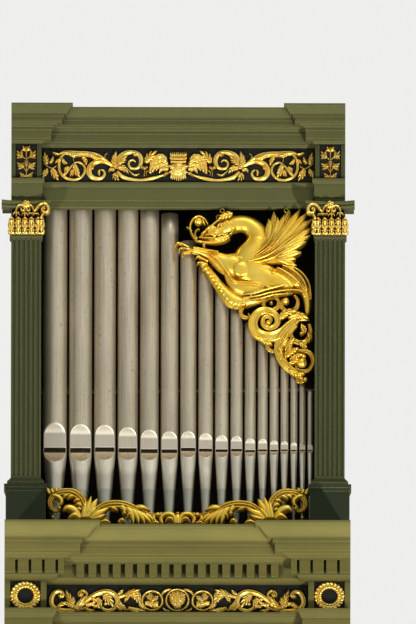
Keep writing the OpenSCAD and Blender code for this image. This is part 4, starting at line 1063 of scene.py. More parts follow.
finish_piece(wing.piece("dragon_wing_and_claws", gilding), "gilding")

# %% The scrolls under the dragon
scrolls = Carving(SHADE_BACK)
scroll_view = View((170, 190), 7.84, SHADE_FACE)
BIG_SCROLL = [(770, 1040, 20), (792, 1012, 26), (768, 984, 30), (732, 1002, 34), (734, 1052, 38),
              (784, 1080, 42), (836, 1048, 46), (838, 988, 50), (780, 944, 58), (704, 950, 66),
              (655, 1010, 74), (658, 1085, 80), (716, 1136, 86), (800, 1146, 88), (880, 1112, 84),
              (945, 1050, 70), (1010, 1002, 52), (1096, 1012, 8)]
STEM = [(980, 1040, 60), (905, 1110, 88), (862, 1190, 84), (858, 1280, 70), (905, 1365, 62),
        (985, 1430, 48), (1050, 1482, 20)]
RINGS = [[(742, 850, 20), (738, 905, 28), (790, 938, 32), (845, 910, 32), (850, 860, 24), (815, 835, 14)],
         [(880, 850, 18), (876, 910, 30), (930, 950, 36), (990, 918, 34), (1002, 860, 24), (975, 815, 14)],
         [(1090, 1040, 20), (1100, 1110, 32), (1060, 1185, 38), (985, 1180, 38), (945, 1120, 32),
          (985, 1055, 24)],
         [(945, 1280, 20), (1020, 1255, 28), (1095, 1270, 32), (1120, 1340, 30), (1080, 1410, 28),
          (1000, 1400, 20), (985, 1350, 10)],
         [(560, 918, 40), (556, 960, 28), (588, 992, 24), (622, 984, 20), (616, 958, 12)],
         [(762, 1190, 36), (768, 1232, 28), (800, 1256, 24), (826, 1240, 14)],
         [(1000, 1470, 24), (1004, 1492, 20), (1040, 1496, 18), (1060, 1476, 12)]]
SCROLL_LEAVES = [
    [(850, 1250, 20), (890, 1190, 60), (930, 1120, 12)],
    [(900, 1290, 16), (935, 1240, 50), (930, 1180, 10)],
    [(1010, 1190, 14), (1050, 1220, 40), (1076, 1240, 10)],
    [(860, 1010, 14), (910, 960, 60), (1000, 950, 14)],
    [(1030, 1050, 14), (1050, 1090, 44), (1040, 1130, 8)],
    [(930, 1000, 30), (1010, 980, 56), (1090, 1010, 8)],
    [(940, 1330, 10), (985, 1300, 36), (1050, 1290, 8)],
    [(1080, 1120, 10), (1100, 1150, 34), (1090, 1200, 8)],
    [(690, 1150, 12), (750, 1180, 44), (800, 1215, 8)], [(905, 1260, 20), (935, 1200, 50), (985, 1165, 10)],
    [(900, 1310, 20), (960, 1262, 44), (1010, 1240, 8)],
    [(930, 1360, 18), (985, 1330, 40), (1000, 1290, 8)],
    [(870, 1330, 20), (860, 1270, 50), (890, 1200, 10)],
    [(930, 1410, 24), (1000, 1440, 40), (1060, 1440, 8)]]
SCROLL_BERRIES = [(772, 1034, 26), (1032, 1346, 44), (905, 864, 32), (794, 880, 14), (1062, 1476, 18),
                  (1030, 1118, 16), (1046, 1296, 22)]
draw(scrolls, scroll_view, [BIG_SCROLL], 0.036, hollow_stem, lift=0.012, per=7, across=12)
draw(scrolls, scroll_view, [STEM], 0.036, fluted(4), lift=0.012, per=7, across=14)
draw(scrolls, scroll_view, RINGS, 0.026, hollow_stem, lift=0.010, per=7, across=10)
draw_leaves(scrolls, scroll_view, [(3, line) for line in SCROLL_LEAVES], 0.018, lift=0.026, lean=0.010)
draw_bosses(scrolls, scroll_view, SCROLL_BERRIES, 0.034, 0.010)
HANGERS = [(410, 150), (912, 150)]
for across, down in HANGERS:
    draw(scrolls, scroll_view, [hoop(across, down, 16, 7, 9)], 0.006, lift=0.010, per=4)
    draw(scrolls, scroll_view, [[(across, down + 14, 12), (across, down + 60, 12)]], 0.010, per=4)
finish_piece(scrolls.piece("shade_scrolls", gilding), "gilding")

# %% [markdown]
# ## Carving before the pipe feet
# A long leafy scroll stands on the cornice and hides the toes. It is drawn once for the left half and
# mirrored.

# %% Toe carving
toe_low, toe_high = corners("toe_carving")
TOE_FACE = -0.02
LOW_CORNER, LOW_ZOOM = (-0.23, 479.56), 7.462
toe_view = View(LOW_CORNER, LOW_ZOOM, TOE_FACE)
toe = Carving(toe_high.y)
TOE_STEMS = [
    (0.032, [(612, 292, 36), (634, 222, 48), (610, 152, 54), (550, 102, 56), (470, 95, 50),
             (408, 116, 42), (374, 166, 34), (386, 214, 26), (424, 230, 22), (448, 212, 14)]),
    (0.034, [(668, 292, 30), (716, 238, 46), (790, 196, 56), (880, 186, 58), (960, 204, 60),
             (1030, 238, 50), (1100, 262, 40), (1176, 268, 26)])]
for rise, line in TOE_STEMS:
    draw(toe, toe_view, [line], rise, fluted(3), widen=1.25, lift=0.010, per=9, across=18)
TOE_FINGERS = [
    [(392, 120, 18), (430, 128, 24), (458, 154, 24), (452, 188, 14), (428, 200, 8)],
    [(620, 292, 22), (632, 226, 30), (640, 164, 8)], [(634, 292, 24), (656, 214, 34), (682, 128, 8)],
    [(646, 292, 24), (690, 206, 36), (727, 146, 8)], [(656, 290, 20), (690, 240, 30), (722, 204, 8)],
    [(628, 292, 10), (660, 236, 14), (686, 190, 6)],
    [(600, 292, 26), (562, 234, 40), (506, 214, 36), (472, 236, 12)],
    [(602, 292, 24), (560, 266, 32), (508, 290, 10)], [(596, 292, 20), (576, 248, 28), (570, 206, 8)],
    [(608, 200, 26), (584, 186, 24), (560, 196, 6)], [(606, 230, 22), (586, 222, 20), (566, 234, 6)],
    [(596, 156, 24), (568, 158, 20), (548, 172, 6)], [(548, 124, 24), (522, 134, 22), (500, 152, 6)],
    [(508, 116, 22), (484, 128, 20), (470, 146, 6)], [(372, 112, 22), (356, 86, 26), (346, 56, 6)],
    [(400, 104, 22), (388, 84, 22), (396, 66, 6)], [(424, 94, 20), (420, 76, 18), (436, 62, 5)],
    [(672, 292, 26), (730, 258, 44), (816, 214, 12)], [(684, 296, 18), (740, 286, 26), (790, 262, 8)],
    [(744, 322, 14), (790, 312, 22), (828, 326, 8)], [(836, 212, 24), (860, 222, 20), (884, 240, 6)],
    [(906, 196, 26), (926, 222, 30), (930, 250, 14)], [(884, 322, 14), (912, 304, 22), (936, 320, 8)],
    [(940, 206, 26), (982, 250, 36), (1000, 334, 8)], [(968, 210, 26), (1018, 264, 38), (1040, 334, 8)],
    [(996, 220, 26), (1056, 276, 36), (1084, 334, 8)], [(1030, 240, 24), (1096, 292, 32), (1134, 334, 8)],
    [(1010, 212, 26), (1062, 214, 34), (1122, 230, 8)], [(1086, 258, 22), (1130, 292, 24), (1152, 330, 8)],
    [(948, 290, 10), (966, 262, 20), (990, 270, 8)], [(1150, 272, 18), (1150, 300, 20), (1180, 318, 8)],
    [(1212, 332, 16), (1204, 290, 24), (1238, 262, 28), (1284, 266, 28), (1308, 298, 24), (1306, 332, 14)],
    [(1236, 322, 12), (1256, 294, 20), (1286, 300, 18), (1290, 328, 8)],
    [(1212, 282, 14), (1200, 262, 16), (1212, 248, 6)], [(1330, 334, 30), (1330, 296, 34), (1330, 254, 10)],
    [(1188, 330, 14), (1160, 322, 20), (1130, 330, 8)]]
TOE_BERRIES = [(1180, 266, 24), (930, 252, 21), (394, 284, 16), (442, 214, 18), (1330, 256, 14)]
draw(toe, toe_view, TOE_FINGERS, 0.026, widen=1.75, lift=0.016, per=6, lean=0.006)
draw_bosses(toe, toe_view, TOE_BERRIES, 0.028, 0.014)
toe.mirror()
FOOT_RAIL = 0.080
toe.stroke([(x, toe_low.z + FOOT_RAIL / 2, FOOT_RAIL) for x in (toe_low.x, toe_high.x)],
           0.022, hollow_stem, per=30)
finish_piece(toe.piece("toe_scrolls", gilding), "gilding", "toe_carving")

# %% [markdown]
# ## The two carved friezes
# A frieze of scrolls is one stem that swings from side to side. Each swing ends in a spiral round a
# flower, and a leaf covers every fork. The upper one has a winged boss under a crown in the middle.

# %% Upper frieze
FRIEZE_FACE = corners("frieze_board")[0].y
frieze_view = View((38.73, 142.3), 11.007, FRIEZE_FACE)
frieze = Carving(FRIEZE_FACE)
FRIEZE_STEMS = [
    [(300, 118, 20), (252, 160, 26), (226, 230, 26), (228, 312, 26), (266, 376, 28), (332, 412, 28),
     (402, 418, 26), (464, 392, 26), (502, 342, 26), (506, 286, 24), (478, 244, 22), (428, 224, 18),
     (386, 238, 14)],
    [(400, 232, 14), (350, 280, 24), (300, 340, 34), (268, 376, 16)],
    [(850, 290, 24), (790, 248, 40), (710, 216, 44), (636, 222, 52), (576, 262, 60), (552, 320, 60),
     (572, 378, 52), (630, 406, 44), (694, 398, 34), (726, 356, 26), (714, 318, 20), (688, 304, 10)],
    [(862, 296, 30), (872, 236, 60), (904, 170, 76), (962, 126, 60), (1020, 112, 44), (1080, 124, 44),
     (1120, 170, 50), (1126, 226, 44), (1100, 278, 34), (1056, 296, 26), (1012, 286, 24), (990, 248, 22),
     (1004, 210, 20), (1042, 200, 18), (1066, 222, 10)],
    [(215, 136, 10), (270, 118, 34), (340, 122, 56), (430, 132, 66), (530, 134, 64), (620, 150, 62),
     (690, 176, 46), (760, 222, 30), (812, 262, 22)],
    [(862, 326, 26), (924, 386, 40), (1010, 412, 34), (1120, 422, 26), (1228, 408, 36), (1320, 384, 24),
     (1400, 356, 14)]]
draw(frieze, frieze_view, FRIEZE_STEMS, 0.014, fluted(2), lift=0.005, per=6, across=10)
FRIEZE_TENDRILS = [
    [(50, 236, 10), (98, 272, 14), (150, 292, 14), (196, 264, 10)],
    [(980, 300, 10), (1020, 342, 16), (1062, 368, 20), (1112, 352, 8)],
    [(1160, 380, 10), (1166, 300, 12)], [(1186, 372, 8), (1182, 336, 10), (1210, 318, 8)],
    [(738, 196, 8), (728, 152, 12), (756, 124, 8)], [(376, 168, 10), (386, 216, 10)],
    [(668, 372, 10), (662, 330, 34), (676, 300, 8)], [(150, 120, 5), (180, 126, 8), (215, 136, 8)],
    [(770, 330, 16), (790, 302, 20), (826, 318, 12)]]
draw(frieze, frieze_view, FRIEZE_TENDRILS, 0.012, lift=0.005)
FRIEZE_LEAVES = [
    (3, [(84, 252, 30), (74, 190, 70), (60, 108, 10)]),
    (2, [(120, 236, 14), (146, 206, 34), (160, 160, 8)]),
    (2, [(228, 140, 10), (190, 132, 24), (150, 118, 6)]),
    (3, [(94, 300, 20), (68, 346, 64), (44, 402, 10)]),
    (3, [(146, 296, 20), (172, 356, 74), (216, 430, 10)]),
    (2, [(240, 196, 20), (210, 214, 40), (178, 236, 8)]),
    (2, [(262, 190, 16), (280, 226, 34), (318, 244, 8)]),
    (2, [(480, 168, 16), (510, 200, 38), (526, 262, 8)]),
    (3, [(396, 250, 20), (412, 322, 66), (452, 398, 10)]),
    (2, [(330, 280, 16), (300, 300, 44), (280, 330, 8)]),
    (2, [(370, 310, 16), (366, 350, 44), (340, 380, 8)]),
    (2, [(600, 300, 16), (590, 280, 30), (620, 262, 6)]),
    (3, [(846, 284, 30), (828, 204, 60), (856, 102, 10)]),
    (3, [(876, 292, 30), (934, 292, 64), (988, 350, 10)]),
    (2, [(832, 318, 20), (796, 304, 36), (764, 332, 8)]),
    (3, [(842, 346, 30), (846, 390, 74), (886, 432, 10)]),
    (3, [(870, 250, 30), (920, 200, 84), (975, 160, 10)]),
    (2, [(1164, 306, 16), (1144, 284, 34), (1122, 296, 6)]),
    (2, [(1164, 306, 16), (1184, 284, 34), (1196, 296, 6)]),
    (3, [(1176, 232, 14), (1226, 164, 100), (1304, 98, 10)]),
    (2, [(330, 120, 20), (380, 150, 44), (440, 158, 8)]),
    (2, [(560, 130, 24), (620, 176, 40), (690, 190, 8)]),
    (2, [(1086, 120, 20), (1066, 146, 30), (1034, 150, 6)])]
draw_leaves(frieze, frieze_view, FRIEZE_LEAVES, 0.014, lift=0.010, lean=0.003, start=0.04, plump=0.66)
WING_FIELD = [(1425, 300, 70), (1372, 262, 120), (1316, 250, 100), (1262, 288, 56), (1228, 345, 12)]
draw(frieze, frieze_view, [WING_FIELD], 0.008, fluted(7), lift=0.004, per=6, across=28)
WING_PLUMES = [
    [(1400, 220, 16), (1372, 168, 40), (1330, 160, 44), (1284, 190, 40), (1246, 250, 34), (1222, 350, 8)],
    [(1420, 250, 16), (1370, 204, 36), (1312, 222, 40), (1272, 280, 34), (1252, 338, 8)],
    [(1426, 280, 16), (1376, 250, 34), (1320, 268, 36), (1290, 322, 8)],
    [(1430, 310, 16), (1390, 296, 32), (1350, 308, 32), (1322, 350, 8)],
    [(1430, 345, 16), (1404, 350, 30), (1370, 386, 8)]]
draw_leaves(frieze, frieze_view, [(5, plume) for plume in WING_PLUMES], 0.009, lift=0.010, start=0.06)
frieze.mirror()

# %% The crowned boss in the middle
CROWN_HALF = 0.047
CROWN_LIFT = 0.005
body_z, brow_z, crown_z, crown_mid, crown_top, chin_z, tail_z = (
    z for x, z, wide in frieze_view(*((0, down, 0) for down in (305, 220, 180, 136, 100, 372, 430))))
frieze.boss(0, body_z, 0.050, 0.026, 0.004, count=32)
frieze.boss(0, body_z, 0.026, 0.012, 0.024, petals=8, dent=0.6, count=40)
COLLAR = [[(0.012, 0.0, 0.016), (0.036, 0.014, 0.030), (0.060, 0.020, 0.004)],
          [(0.012, -0.01, 0.016), (0.036, -0.018, 0.030), (0.058, -0.020, 0.004)]]
for side in (-1, 1):
    for line in COLLAR:
        frieze.leaf([(side * x, body_z + up, wide) for x, up, wide in line], 2, 0.010, lift=0.020)
for k in range(-4, 5):
    tip = 0.0105 * k
    frieze.stroke([(tip * 0.7, body_z - 0.012, 0.016), (tip * 0.95, chin_z, 0.017),
                   (tip * 1.05, tail_z + 0.0034 * abs(k), 0.003)], 0.016, lift=0.006, per=6)
for z, wide, rise in ((brow_z, 0.020, 0.020), (crown_z, 0.024, 0.013), (crown_mid - 0.006, 0.022, 0.010)):
    frieze.stroke([(-CROWN_HALF, z, wide), (0, z - 0.002, wide), (CROWN_HALF, z, wide)], rise,
                  lift=CROWN_LIFT, per=8)
for k in range(-4, 5):
    x = k * CROWN_HALF / 4
    frieze.boss(x, crown_z, 0.0055, 0.010, 0.016, count=10, rows=3)
    frieze.stroke([(x, crown_mid - 0.006, 0.014), (x, crown_mid + 0.004, 0.011), (x, crown_top, 0.002)],
                  0.012, lift=CROWN_LIFT, per=4)
finish_piece(frieze.piece("frieze_scrolls", fine_gilding), "gilding", "frieze_carving")

# %% Ornaments of the frieze blocks
BLOCK_FACE = corners("frieze_ornaments")[1].y
finial_view = View((0, 95), 17.42, BLOCK_FACE)
FINIAL_X = 437
FINIAL = [
    (0, [(437, 1450, 10), (437, 1300, 18), (437, 1100, 16), (437, 960, 26)]),
    (0, [(437, 965, 60), (400, 955, 60), (360, 962, 14)]), (0, [(437, 940, 40), (437, 890, 10)]),
    (2, [(437, 980, 20), (400, 930, 60), (372, 892, 8)]),
    (0, [(425, 1120, 12), (380, 1090, 16), (340, 1060, 14)]),
    (2, [(372, 1090, 30), (318, 1040, 110), (268, 965, 10)]),
    (2, [(360, 1070, 20), (350, 1010, 50), (366, 958, 8)]),
    (2, [(350, 1090, 20), (300, 1090, 40), (268, 1112, 8)]),
    (0, [(430, 1330, 12), (390, 1270, 16), (360, 1240, 12)]),
    (2, [(400, 1260, 30), (330, 1230, 84), (268, 1180, 10)]),
    (2, [(390, 1250, 20), (372, 1216, 40), (384, 1176, 8)]),
    (2, [(380, 1260, 20), (330, 1284, 30), (290, 1296, 8)]),
    (3, [(437, 1250, 40), (437, 1180, 84), (437, 1106, 8)]),
    (2, [(430, 1440, 26), (370, 1410, 70), (318, 1346, 10)]),
    (2, [(425, 1430, 20), (372, 1440, 40), (322, 1446, 8)]),
    (2, [(437, 1400, 30), (437, 1440, 60), (437, 1500, 8)])]
finials = Carving(BLOCK_FACE)
centre_x = finial_view((FINIAL_X, 1200, 0))[0][0]
for fingers, points in FINIAL:
    half = [(x - centre_x, z, wide) for x, z, wide in finial_view(*points)]
    upright = points[0][0] == points[-1][0] == FINIAL_X
    # A piece on the middle line needs no twin
    for side in (1,) if upright else (1, -1):
        placed = [(side * x - PIER_X, z, wide) for x, z, wide in half]
        if fingers:
            finials.leaf(placed, fingers, 0.015, lift=0.004, start=0.02, plump=0.5)
        else:
            finials.stroke(placed, 0.012, lift=0.003)
finials.mirror()
finish_piece(finials.piece("frieze_block_leaves", fine_gilding), "gilding", "frieze_ornaments")

# %% [markdown]
# The lower frieze is drawn in the same way, for its left half. Its middle is a round medallion between two
# openwork roundels, which a loop lays out.

# %% Lower frieze
PED_FACE = corners("pedestal_frieze_board")[0].y
ped_view = View(LOW_CORNER, LOW_ZOOM, PED_FACE)
ped = Carving(PED_FACE)
PED_STEMS = [
    [(456, 884, 12), (474, 864, 22), (450, 838, 28), (412, 846, 32), (388, 884, 34), (386, 930, 34),
     (414, 964, 34), (466, 980, 34), (540, 978, 32), (610, 940, 30), (670, 890, 34), (736, 852, 38),
     (806, 840, 40), (862, 868, 38), (880, 916, 34), (856, 962, 28), (808, 980, 24), (766, 964, 20),
     (748, 930, 16), (764, 900, 8)],
    [(560, 984, 12), (640, 962, 18), (700, 920, 12)],
    [(886, 882, 20), (934, 868, 24), (966, 846, 26), (1004, 838, 26), (1040, 862, 24), (1046, 904, 18),
     (1080, 950, 8)],
    [(888, 900, 14), (910, 944, 20), (940, 984, 12)],
    [(936, 982, 10), (976, 966, 20), (1030, 976, 24), (1092, 984, 12)],
    [(640, 892, 10), (650, 856, 16), (620, 832, 18), (590, 850, 16), (592, 876, 8)],
    [(1206, 872, 8), (1220, 846, 16), (1250, 828, 18), (1284, 824, 8)],
    [(1216, 960, 8), (1236, 980, 14), (1268, 986, 8)]]
draw(ped, ped_view, PED_STEMS, 0.016, fluted(2), lift=0.004, per=7, across=10)
PED_LEAVES = [
    (4, [(544, 966, 24), (524, 900, 56), (492, 826, 10)]),
    (2, [(524, 950, 24), (546, 916, 34), (552, 880, 8)]),
    (2, [(470, 930, 14), (500, 930, 30), (520, 960, 8)]),
    (3, [(560, 976, 26), (600, 926, 40), (646, 870, 10)]),
    (2, [(600, 876, 14), (612, 858, 34), (606, 830, 8)]),
    (2, [(690, 892, 14), (720, 906, 30), (742, 880, 8)]),
    (3, [(776, 862, 26), (812, 900, 60), (850, 962, 12)]),
    (2, [(730, 890, 20), (744, 926, 40), (730, 964, 8)]),
    (2, [(700, 960, 12), (726, 950, 30), (752, 976, 8)]),
    (2, [(640, 940, 14), (690, 934, 30), (716, 912, 8)]),
    (2, [(884, 862, 14), (904, 846, 26), (926, 826, 6)]),
    (3, [(940, 880, 20), (980, 850, 50), (1050, 826, 10)]),
    (3, [(980, 862, 20), (1024, 888, 44), (1050, 940, 10)]),
    (2, [(960, 872, 14), (944, 896, 26), (930, 920, 6)]),
    (3, [(890, 926, 16), (920, 960, 40), (946, 990, 10)]),
    (3, [(960, 962, 16), (1010, 982, 36), (1084, 988, 10)]),
    (2, [(1040, 930, 14), (1070, 960, 30), (1090, 980, 6)]),
    (2, [(640, 972, 14), (676, 984, 26), (712, 984, 6)]),
    (2, [(430, 962, 14), (460, 936, 34), (500, 930, 6)]),
    (2, [(868, 946, 14), (900, 974, 26), (912, 988, 6)])]
draw_leaves(ped, ped_view, PED_LEAVES, 0.015, lift=0.009, lean=0.003, start=0.02, plump=0.66)
PED_BERRIES = [(452, 874, 17), (602, 866, 12), (790, 932, 14), (990, 880, 9)]
draw_bosses(ped, ped_view, PED_BERRIES, 0.018, 0.006)

# %% Roundels and medallion
(roundel_x, roundel_z, roundel_r), = ped_view((1138, 908, 76))
(medal_x, medal_z, medal_r), = ped_view((1330, 905, 84))
ped.stroke(hoop(roundel_x, roundel_z, roundel_r, roundel_r * 0.24), 0.016, lift=0.002, per=4)
ROUNDEL_LEAVES = [(1084, 920, 1200, 966, 44), (1120, 900, 1116, 842, 44), (1130, 910, 1184, 872, 40),
                  (1130, 904, 1090, 872, 34), (1150, 930, 1186, 924, 36), (1140, 930, 1150, 976, 34),
                  (1110, 920, 1078, 944, 30)]
for x0, y0, x1, y1, wide in ROUNDEL_LEAVES:
    line = [(x0, y0, 14), ((x0 + x1) / 2 + 6, (y0 + y1) / 2 - 4, wide), (x1, y1, 6)]
    draw_leaves(ped, ped_view, [(3, line)], 0.014, lift=0.004, start=0.04)
ped.mirror()
ped.stroke(hoop(0, medal_z, medal_r, medal_r * 0.20), 0.020, lift=0.002, per=4)
ped.boss(0, medal_z + medal_r * 0.22, medal_r * 0.72, 0.007, 0.002, count=36)
MEDAL_LEAVES = [(1330, 960, 1330, 836, 60), (1320, 900, 1270, 858, 60), (1340, 900, 1390, 858, 60),
                (1318, 880, 1290, 836, 50), (1342, 880, 1370, 836, 50), (1316, 910, 1272, 896, 44),
                (1344, 910, 1388, 896, 44), (1324, 920, 1318, 976, 44), (1336, 920, 1342, 976, 44)]
for x0, y0, x1, y1, wide in MEDAL_LEAVES:
    line = ped_view((x0, y0, 16), ((x0 + x1) / 2, (y0 + y1) / 2, wide), (x1, y1, 8))
    ped.leaf([(x - medal_x, z, w) for x, z, w in line], 3, 0.010, lift=0.009)
finish_piece(ped.piece("pedestal_scrolls", fine_gilding), "gilding", "pedestal_carving")

# %% [markdown]
# ## Laurel wreaths
# A wreath is a rope of small leaves laid round a ring. That is a job for instances: points on a circle,
# one leaf on each, laid along the ring, in two strands that take turns from one leaf to the next.

# %% A tree that ties a wreath
OFF_CORE, LOWEST, SPLAY = 0.62, -0.2, -0.45
QUARTER_TURN = 1.5708
leaf_tree, g, size = new_tree("leaf_ring", {
    "Centre": "NodeSocketVector", "Ring": "NodeSocketFloat", "Rope": "NodeSocketFloat",
    "Leaf": "NodeSocketFloat", "Count": "NodeSocketInt", "Strands": "NodeSocketInt"})
circle = g.add("GeometryNodeCurvePrimitiveCircle", {"Radius": size["Ring"], "Resolution": 96})
dots = g.add("GeometryNodeCurveToPoints", {"Curve": circle.outputs[0], "Count": size["Count"]})
ball = g.add("GeometryNodeMeshUVSphere", {"Segments": 8, "Rings": 6, "Radius": 1.0})
order = g.read("GeometryNodeInputIndex")
strand = order.math("MODULO", size["Strands"])
around = strand / size["Strands"] * (2 * math.pi)
px, py, _ = g.split(g.add("GeometryNodeInputPosition").outputs[0])
heading = py.math("ARCTAN2", px)
outward = size["Rope"] * around.math("COSINE") * OFF_CORE
upward = (size["Rope"] * around.math("SINE") * OFF_CORE).math("MAXIMUM", size["Rope"] * LOWEST)
shift = g.join(outward * heading.math("COSINE"), outward * heading.math("SINE"), upward)
spin = g.join(0.0, 0.0, heading + (around.math("COSINE") * SPLAY + QUARTER_TURN))
scale = g.join(size["Leaf"], size["Leaf"] * 0.74, size["Leaf"] * 0.90)
spread = g.add("GeometryNodeSetPosition", {"Geometry": dots.outputs[0], "Offset": shift})
leaves = g.add("GeometryNodeInstanceOnPoints", {"Points": spread.outputs[0], "Instance": ball.outputs[0],
                                                "Rotation": spin, "Scale": scale})
core_line = g.add("GeometryNodeCurvePrimitiveCircle", {"Radius": 1.0, "Resolution": 10})
core_r = size["Rope"] * 0.45
core_size = g.add("GeometryNodeTransform", {"Geometry": core_line.outputs[0],
                                            "Scale": g.join(core_r, core_r, core_r)})
core = g.add("GeometryNodeCurveToMesh", {"Curve": circle.outputs[0], "Profile Curve": core_size.outputs[0]})
both = g.add("GeometryNodeJoinGeometry", {0: leaves.outputs[0]})
g.tree.links.new(core.outputs[0], both.inputs[0])
soft = g.add("GeometryNodeSetShadeSmooth", {"Geometry": both.outputs[0]})
upright = g.add("GeometryNodeTransform", {"Geometry": soft.outputs[0], "Translation": size["Centre"],
                                          "Rotation": (math.pi / 2, 0.0, 0.0)})
close_tree(g, upright.outputs[0], fine_gilding)

# %% Two wreaths
wreath_low, wreath_high = corners("wreaths")
WREATH_R = (wreath_high.z - wreath_low.z) / 2
ROPE_R = 0.0195
RING_DEPTH = 0.008
wreath_centre = Vector((wreath_high.x - WREATH_R, wreath_high.y - RING_DEPTH,
                        (wreath_low.z + wreath_high.z) / 2))
for side, label in SIDES:
    ring = run_tree(leaf_tree, f"wreath_{label}", {
        "Centre": (side * wreath_centre.x, wreath_centre.y, wreath_centre.z), "Ring": WREATH_R - ROPE_R,
        "Rope": ROPE_R, "Leaf": 0.0150, "Count": 44, "Strands": 2})
    finish_piece(ring, "gilding", "wreaths")

# %% [markdown]
# ## Capitals
# The capital is a bell wrapped in three rows of leaves, with thin volutes on top and a hollow-sided abacus.
# Its leaves lean out at the tip, so every row is lifted more than the one below.

# %% Capital leaves
cap_low, cap_high = corners("capital_right")
mid_x = (cap_low.x + cap_high.x) / 2
BELL_Z = corners("pilaster_right")[1].z
BELL_FACE = -0.082
BELL_W = 0.168
ABACUS_H = 0.042
ABACUS_Z = cap_high.z - ABACUS_H
CAP_MID, CAP_FOOT = 697, 1195
CAP_PIXEL = PIXEL / 26.13


def cap_view(*rows):
    """Places read in an enlarged view of the left capital, as the same places on the right one."""
    return [(mid_x - (across - CAP_MID) * CAP_PIXEL,
             BELL_Z + (CAP_FOOT - down) * CAP_PIXEL / math.cos(VIEW_UP), wide * CAP_PIXEL)
            for across, down, wide in rows]


# Rows of leaves, from the lowest: foot, tip, lift, lean and width
CAP_TIERS = [(1192, 1070, 0.006, 0.022, 176), (1056, 870, 0.012, 0.024, 176), (900, 800, 0.014, 0.026, 140)]
CAP_LEAF_X = [314, 490, 662, 834, 1010, 1090]
CAP_RIBS = [(697, 1194, 830), (697, 1100, 824), (697, 880, 800)]
CAP_SHADED_EYES = [(400, 1146), (582, 1142), (742, 1148), (925, 1146), (1056, 1150), (400, 972), (560, 955),
            (745, 955), (935, 936)]
EYE_R = 26
# Volutes and their stems, each with its lift; the one at the corner stands out most
CAP_VOLUTES = [
    (0.024, [(440, 760, 30), (440, 690, 34), (430, 620, 32), (440, 560, 44), (480, 490, 54),
             (550, 462, 56), (620, 490, 54), (650, 560, 48), (620, 612, 50), (565, 590, 44),
             (570, 545, 30)]),
    (0.024, [(900, 640, 30), (880, 560, 46), (840, 490, 50), (770, 466, 50), (716, 510, 48),
             (712, 580, 48), (750, 620, 46), (790, 590, 36), (770, 550, 24)]),
    (0.038, [(900, 650, 30), (960, 580, 56), (1040, 480, 64), (1120, 440, 76), (1210, 450, 84),
             (1270, 530, 84), (1265, 630, 78), (1200, 668, 66), (1130, 640, 56), (1110, 570, 46),
             (1160, 535, 40), (1195, 575, 24)]),
    (0.024, [(1140, 680, 40), (1100, 750, 44), (1070, 800, 50)]),
    (0.024, [(660, 760, 36), (655, 690, 30), (665, 600, 26)])]
CAP_BERRIES = [(690, 430, 52), (650, 460, 34), (735, 460, 34), (1165, 580, 30)]
CAP_SPRIGS = [(440, 640, 720), (660, 665, 745), (830, 660, 720), (950, 670, 730)]
SPRIG_REACH = ((-90, 0), (0, 40), (90, 0))


def cap_leaf(leaves, across, foot, tip, lift, lean, wide):
    """One upright leaf: two side lobes, a middle one, and the curl at its tip."""
    high = foot - tip
    for hand in (-wide, wide):
        lobe = [(across, foot, wide * 0.4), (across + hand * 0.30, foot - high * 0.35, wide * 0.46),
                (across + hand * 0.34, foot - high * 0.75, wide * 0.34),
                (across + hand * 0.12, tip + high * 0.02, wide * 0.16)]
        draw(leaves, cap_view, [lobe], 0.016, lift=lift, lean=lean * 0.6)
    middle = [(across, foot, wide * 0.5), (across, foot - high * 0.55, wide * 0.42),
              (across, tip, wide * 0.30)]
    draw(leaves, cap_view, [middle], 0.018, lift=lift, per=6, lean=lean)
    draw_bosses(leaves, cap_view, [(across, tip + 14, wide * 0.26)], 0.012, lift + lean, count=14, rows=4,
                tall=0.8)


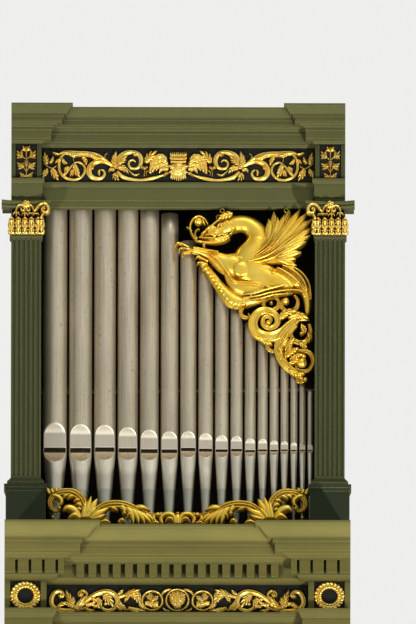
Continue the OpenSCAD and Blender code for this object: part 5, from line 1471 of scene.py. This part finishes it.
def make_capital(side, label):
    # Painted shade: the bell and the eyes between the leaves are black, for the shade that lies between the
    # leaves.
    core = Carving(BELL_FACE)
    core.stroke([(mid_x, BELL_Z + 0.001, BELL_W), (mid_x, ABACUS_Z - 0.002, BELL_W)], 0.002, flat, per=4)
    draw_bosses(core, cap_view, [(*spot, EYE_R) for spot in CAP_SHADED_EYES], 0.004, 0.030, count=14, rows=3)
    leaves = Carving(BELL_FACE)
    draw(leaves, cap_view, [CAP_RIBS], 0.010, fluted(19), across=76)
    for foot, tip, lift, lean, wide in CAP_TIERS:
        for across in CAP_LEAF_X:
            cap_leaf(leaves, across, foot, tip, lift, lean, wide)
    for lift, line in CAP_VOLUTES:
        draw(leaves, cap_view, [line], 0.020, widen=1.2, lift=lift, per=4)
    for across, top, foot in CAP_SPRIGS:
        for reach, short in SPRIG_REACH:
            sprig = [(across, top + 20, 26), (across + reach * 0.5, top + 8, 34),
                     (across + reach, foot - 10 - short, 10)]
            draw(leaves, cap_view, [sprig], 0.014, lift=0.024, per=4, across=6)
    draw_bosses(leaves, cap_view, CAP_BERRIES, 0.020, 0.040, count=14)
    if side < 0:
        core.turn_over()
        leaves.turn_over()
    finish_piece(core.piece(f"capital_{label}_bell", panel_paint), "panel_paint")
    finish_piece(leaves.piece(f"capital_{label}_leaves", fine_gilding), "gilding", f"capital_{label}")


# %% Abaci
# Steps of the slab's edge, as how far out and how high, and how hollow its front is
ABACUS_STEPS = [(-0.004, 0.0), (-0.004, 0.012), (-0.012, 0.020), (-0.012, 0.024), (0.0, 0.026),
                (0.0, ABACUS_H)]
ABACUS_HOLLOW = 0.026


def make_abacus(side, label):
    """The hollow-sided slab with its two steps, and the flower on its face."""
    half = (cap_high.x - cap_low.x) / 2
    work = bmesh.new()
    rims = []
    for out, up in ABACUS_STEPS:
        edge = [(mid_x + t * (half + out), cap_low.y - out + ABACUS_HOLLOW * (1 - t * t))
                for t in np.linspace(-1, 1, 25)]
        edge += [(mid_x + half + out, 0.0), (mid_x - half - out, 0.0)]
        rims.append([work.verts.new((side * x, y, ABACUS_Z + up)) for x, y in edge])
    close_rings(work, rims)
    finish_piece(from_bmesh(f"abacus_{label}", work, case_paint_level), "case_paint", f"capital_{label}")
    flower = Carving(cap_low.y + ABACUS_HOLLOW)
    x, z = side * mid_x, ABACUS_Z + ABACUS_H / 2
    flower.boss(x, z, 0.027, 0.016, count=40, rows=6, petals=5, dent=0.5)
    flower.boss(x, z, 0.008, 0.012, 0.008, count=14, rows=4)
    finish_piece(flower.piece(f"abacus_flower_{label}", fine_gilding), "gilding")


for side, label in SIDES:
    make_capital(side, label)
    make_abacus(side, label)
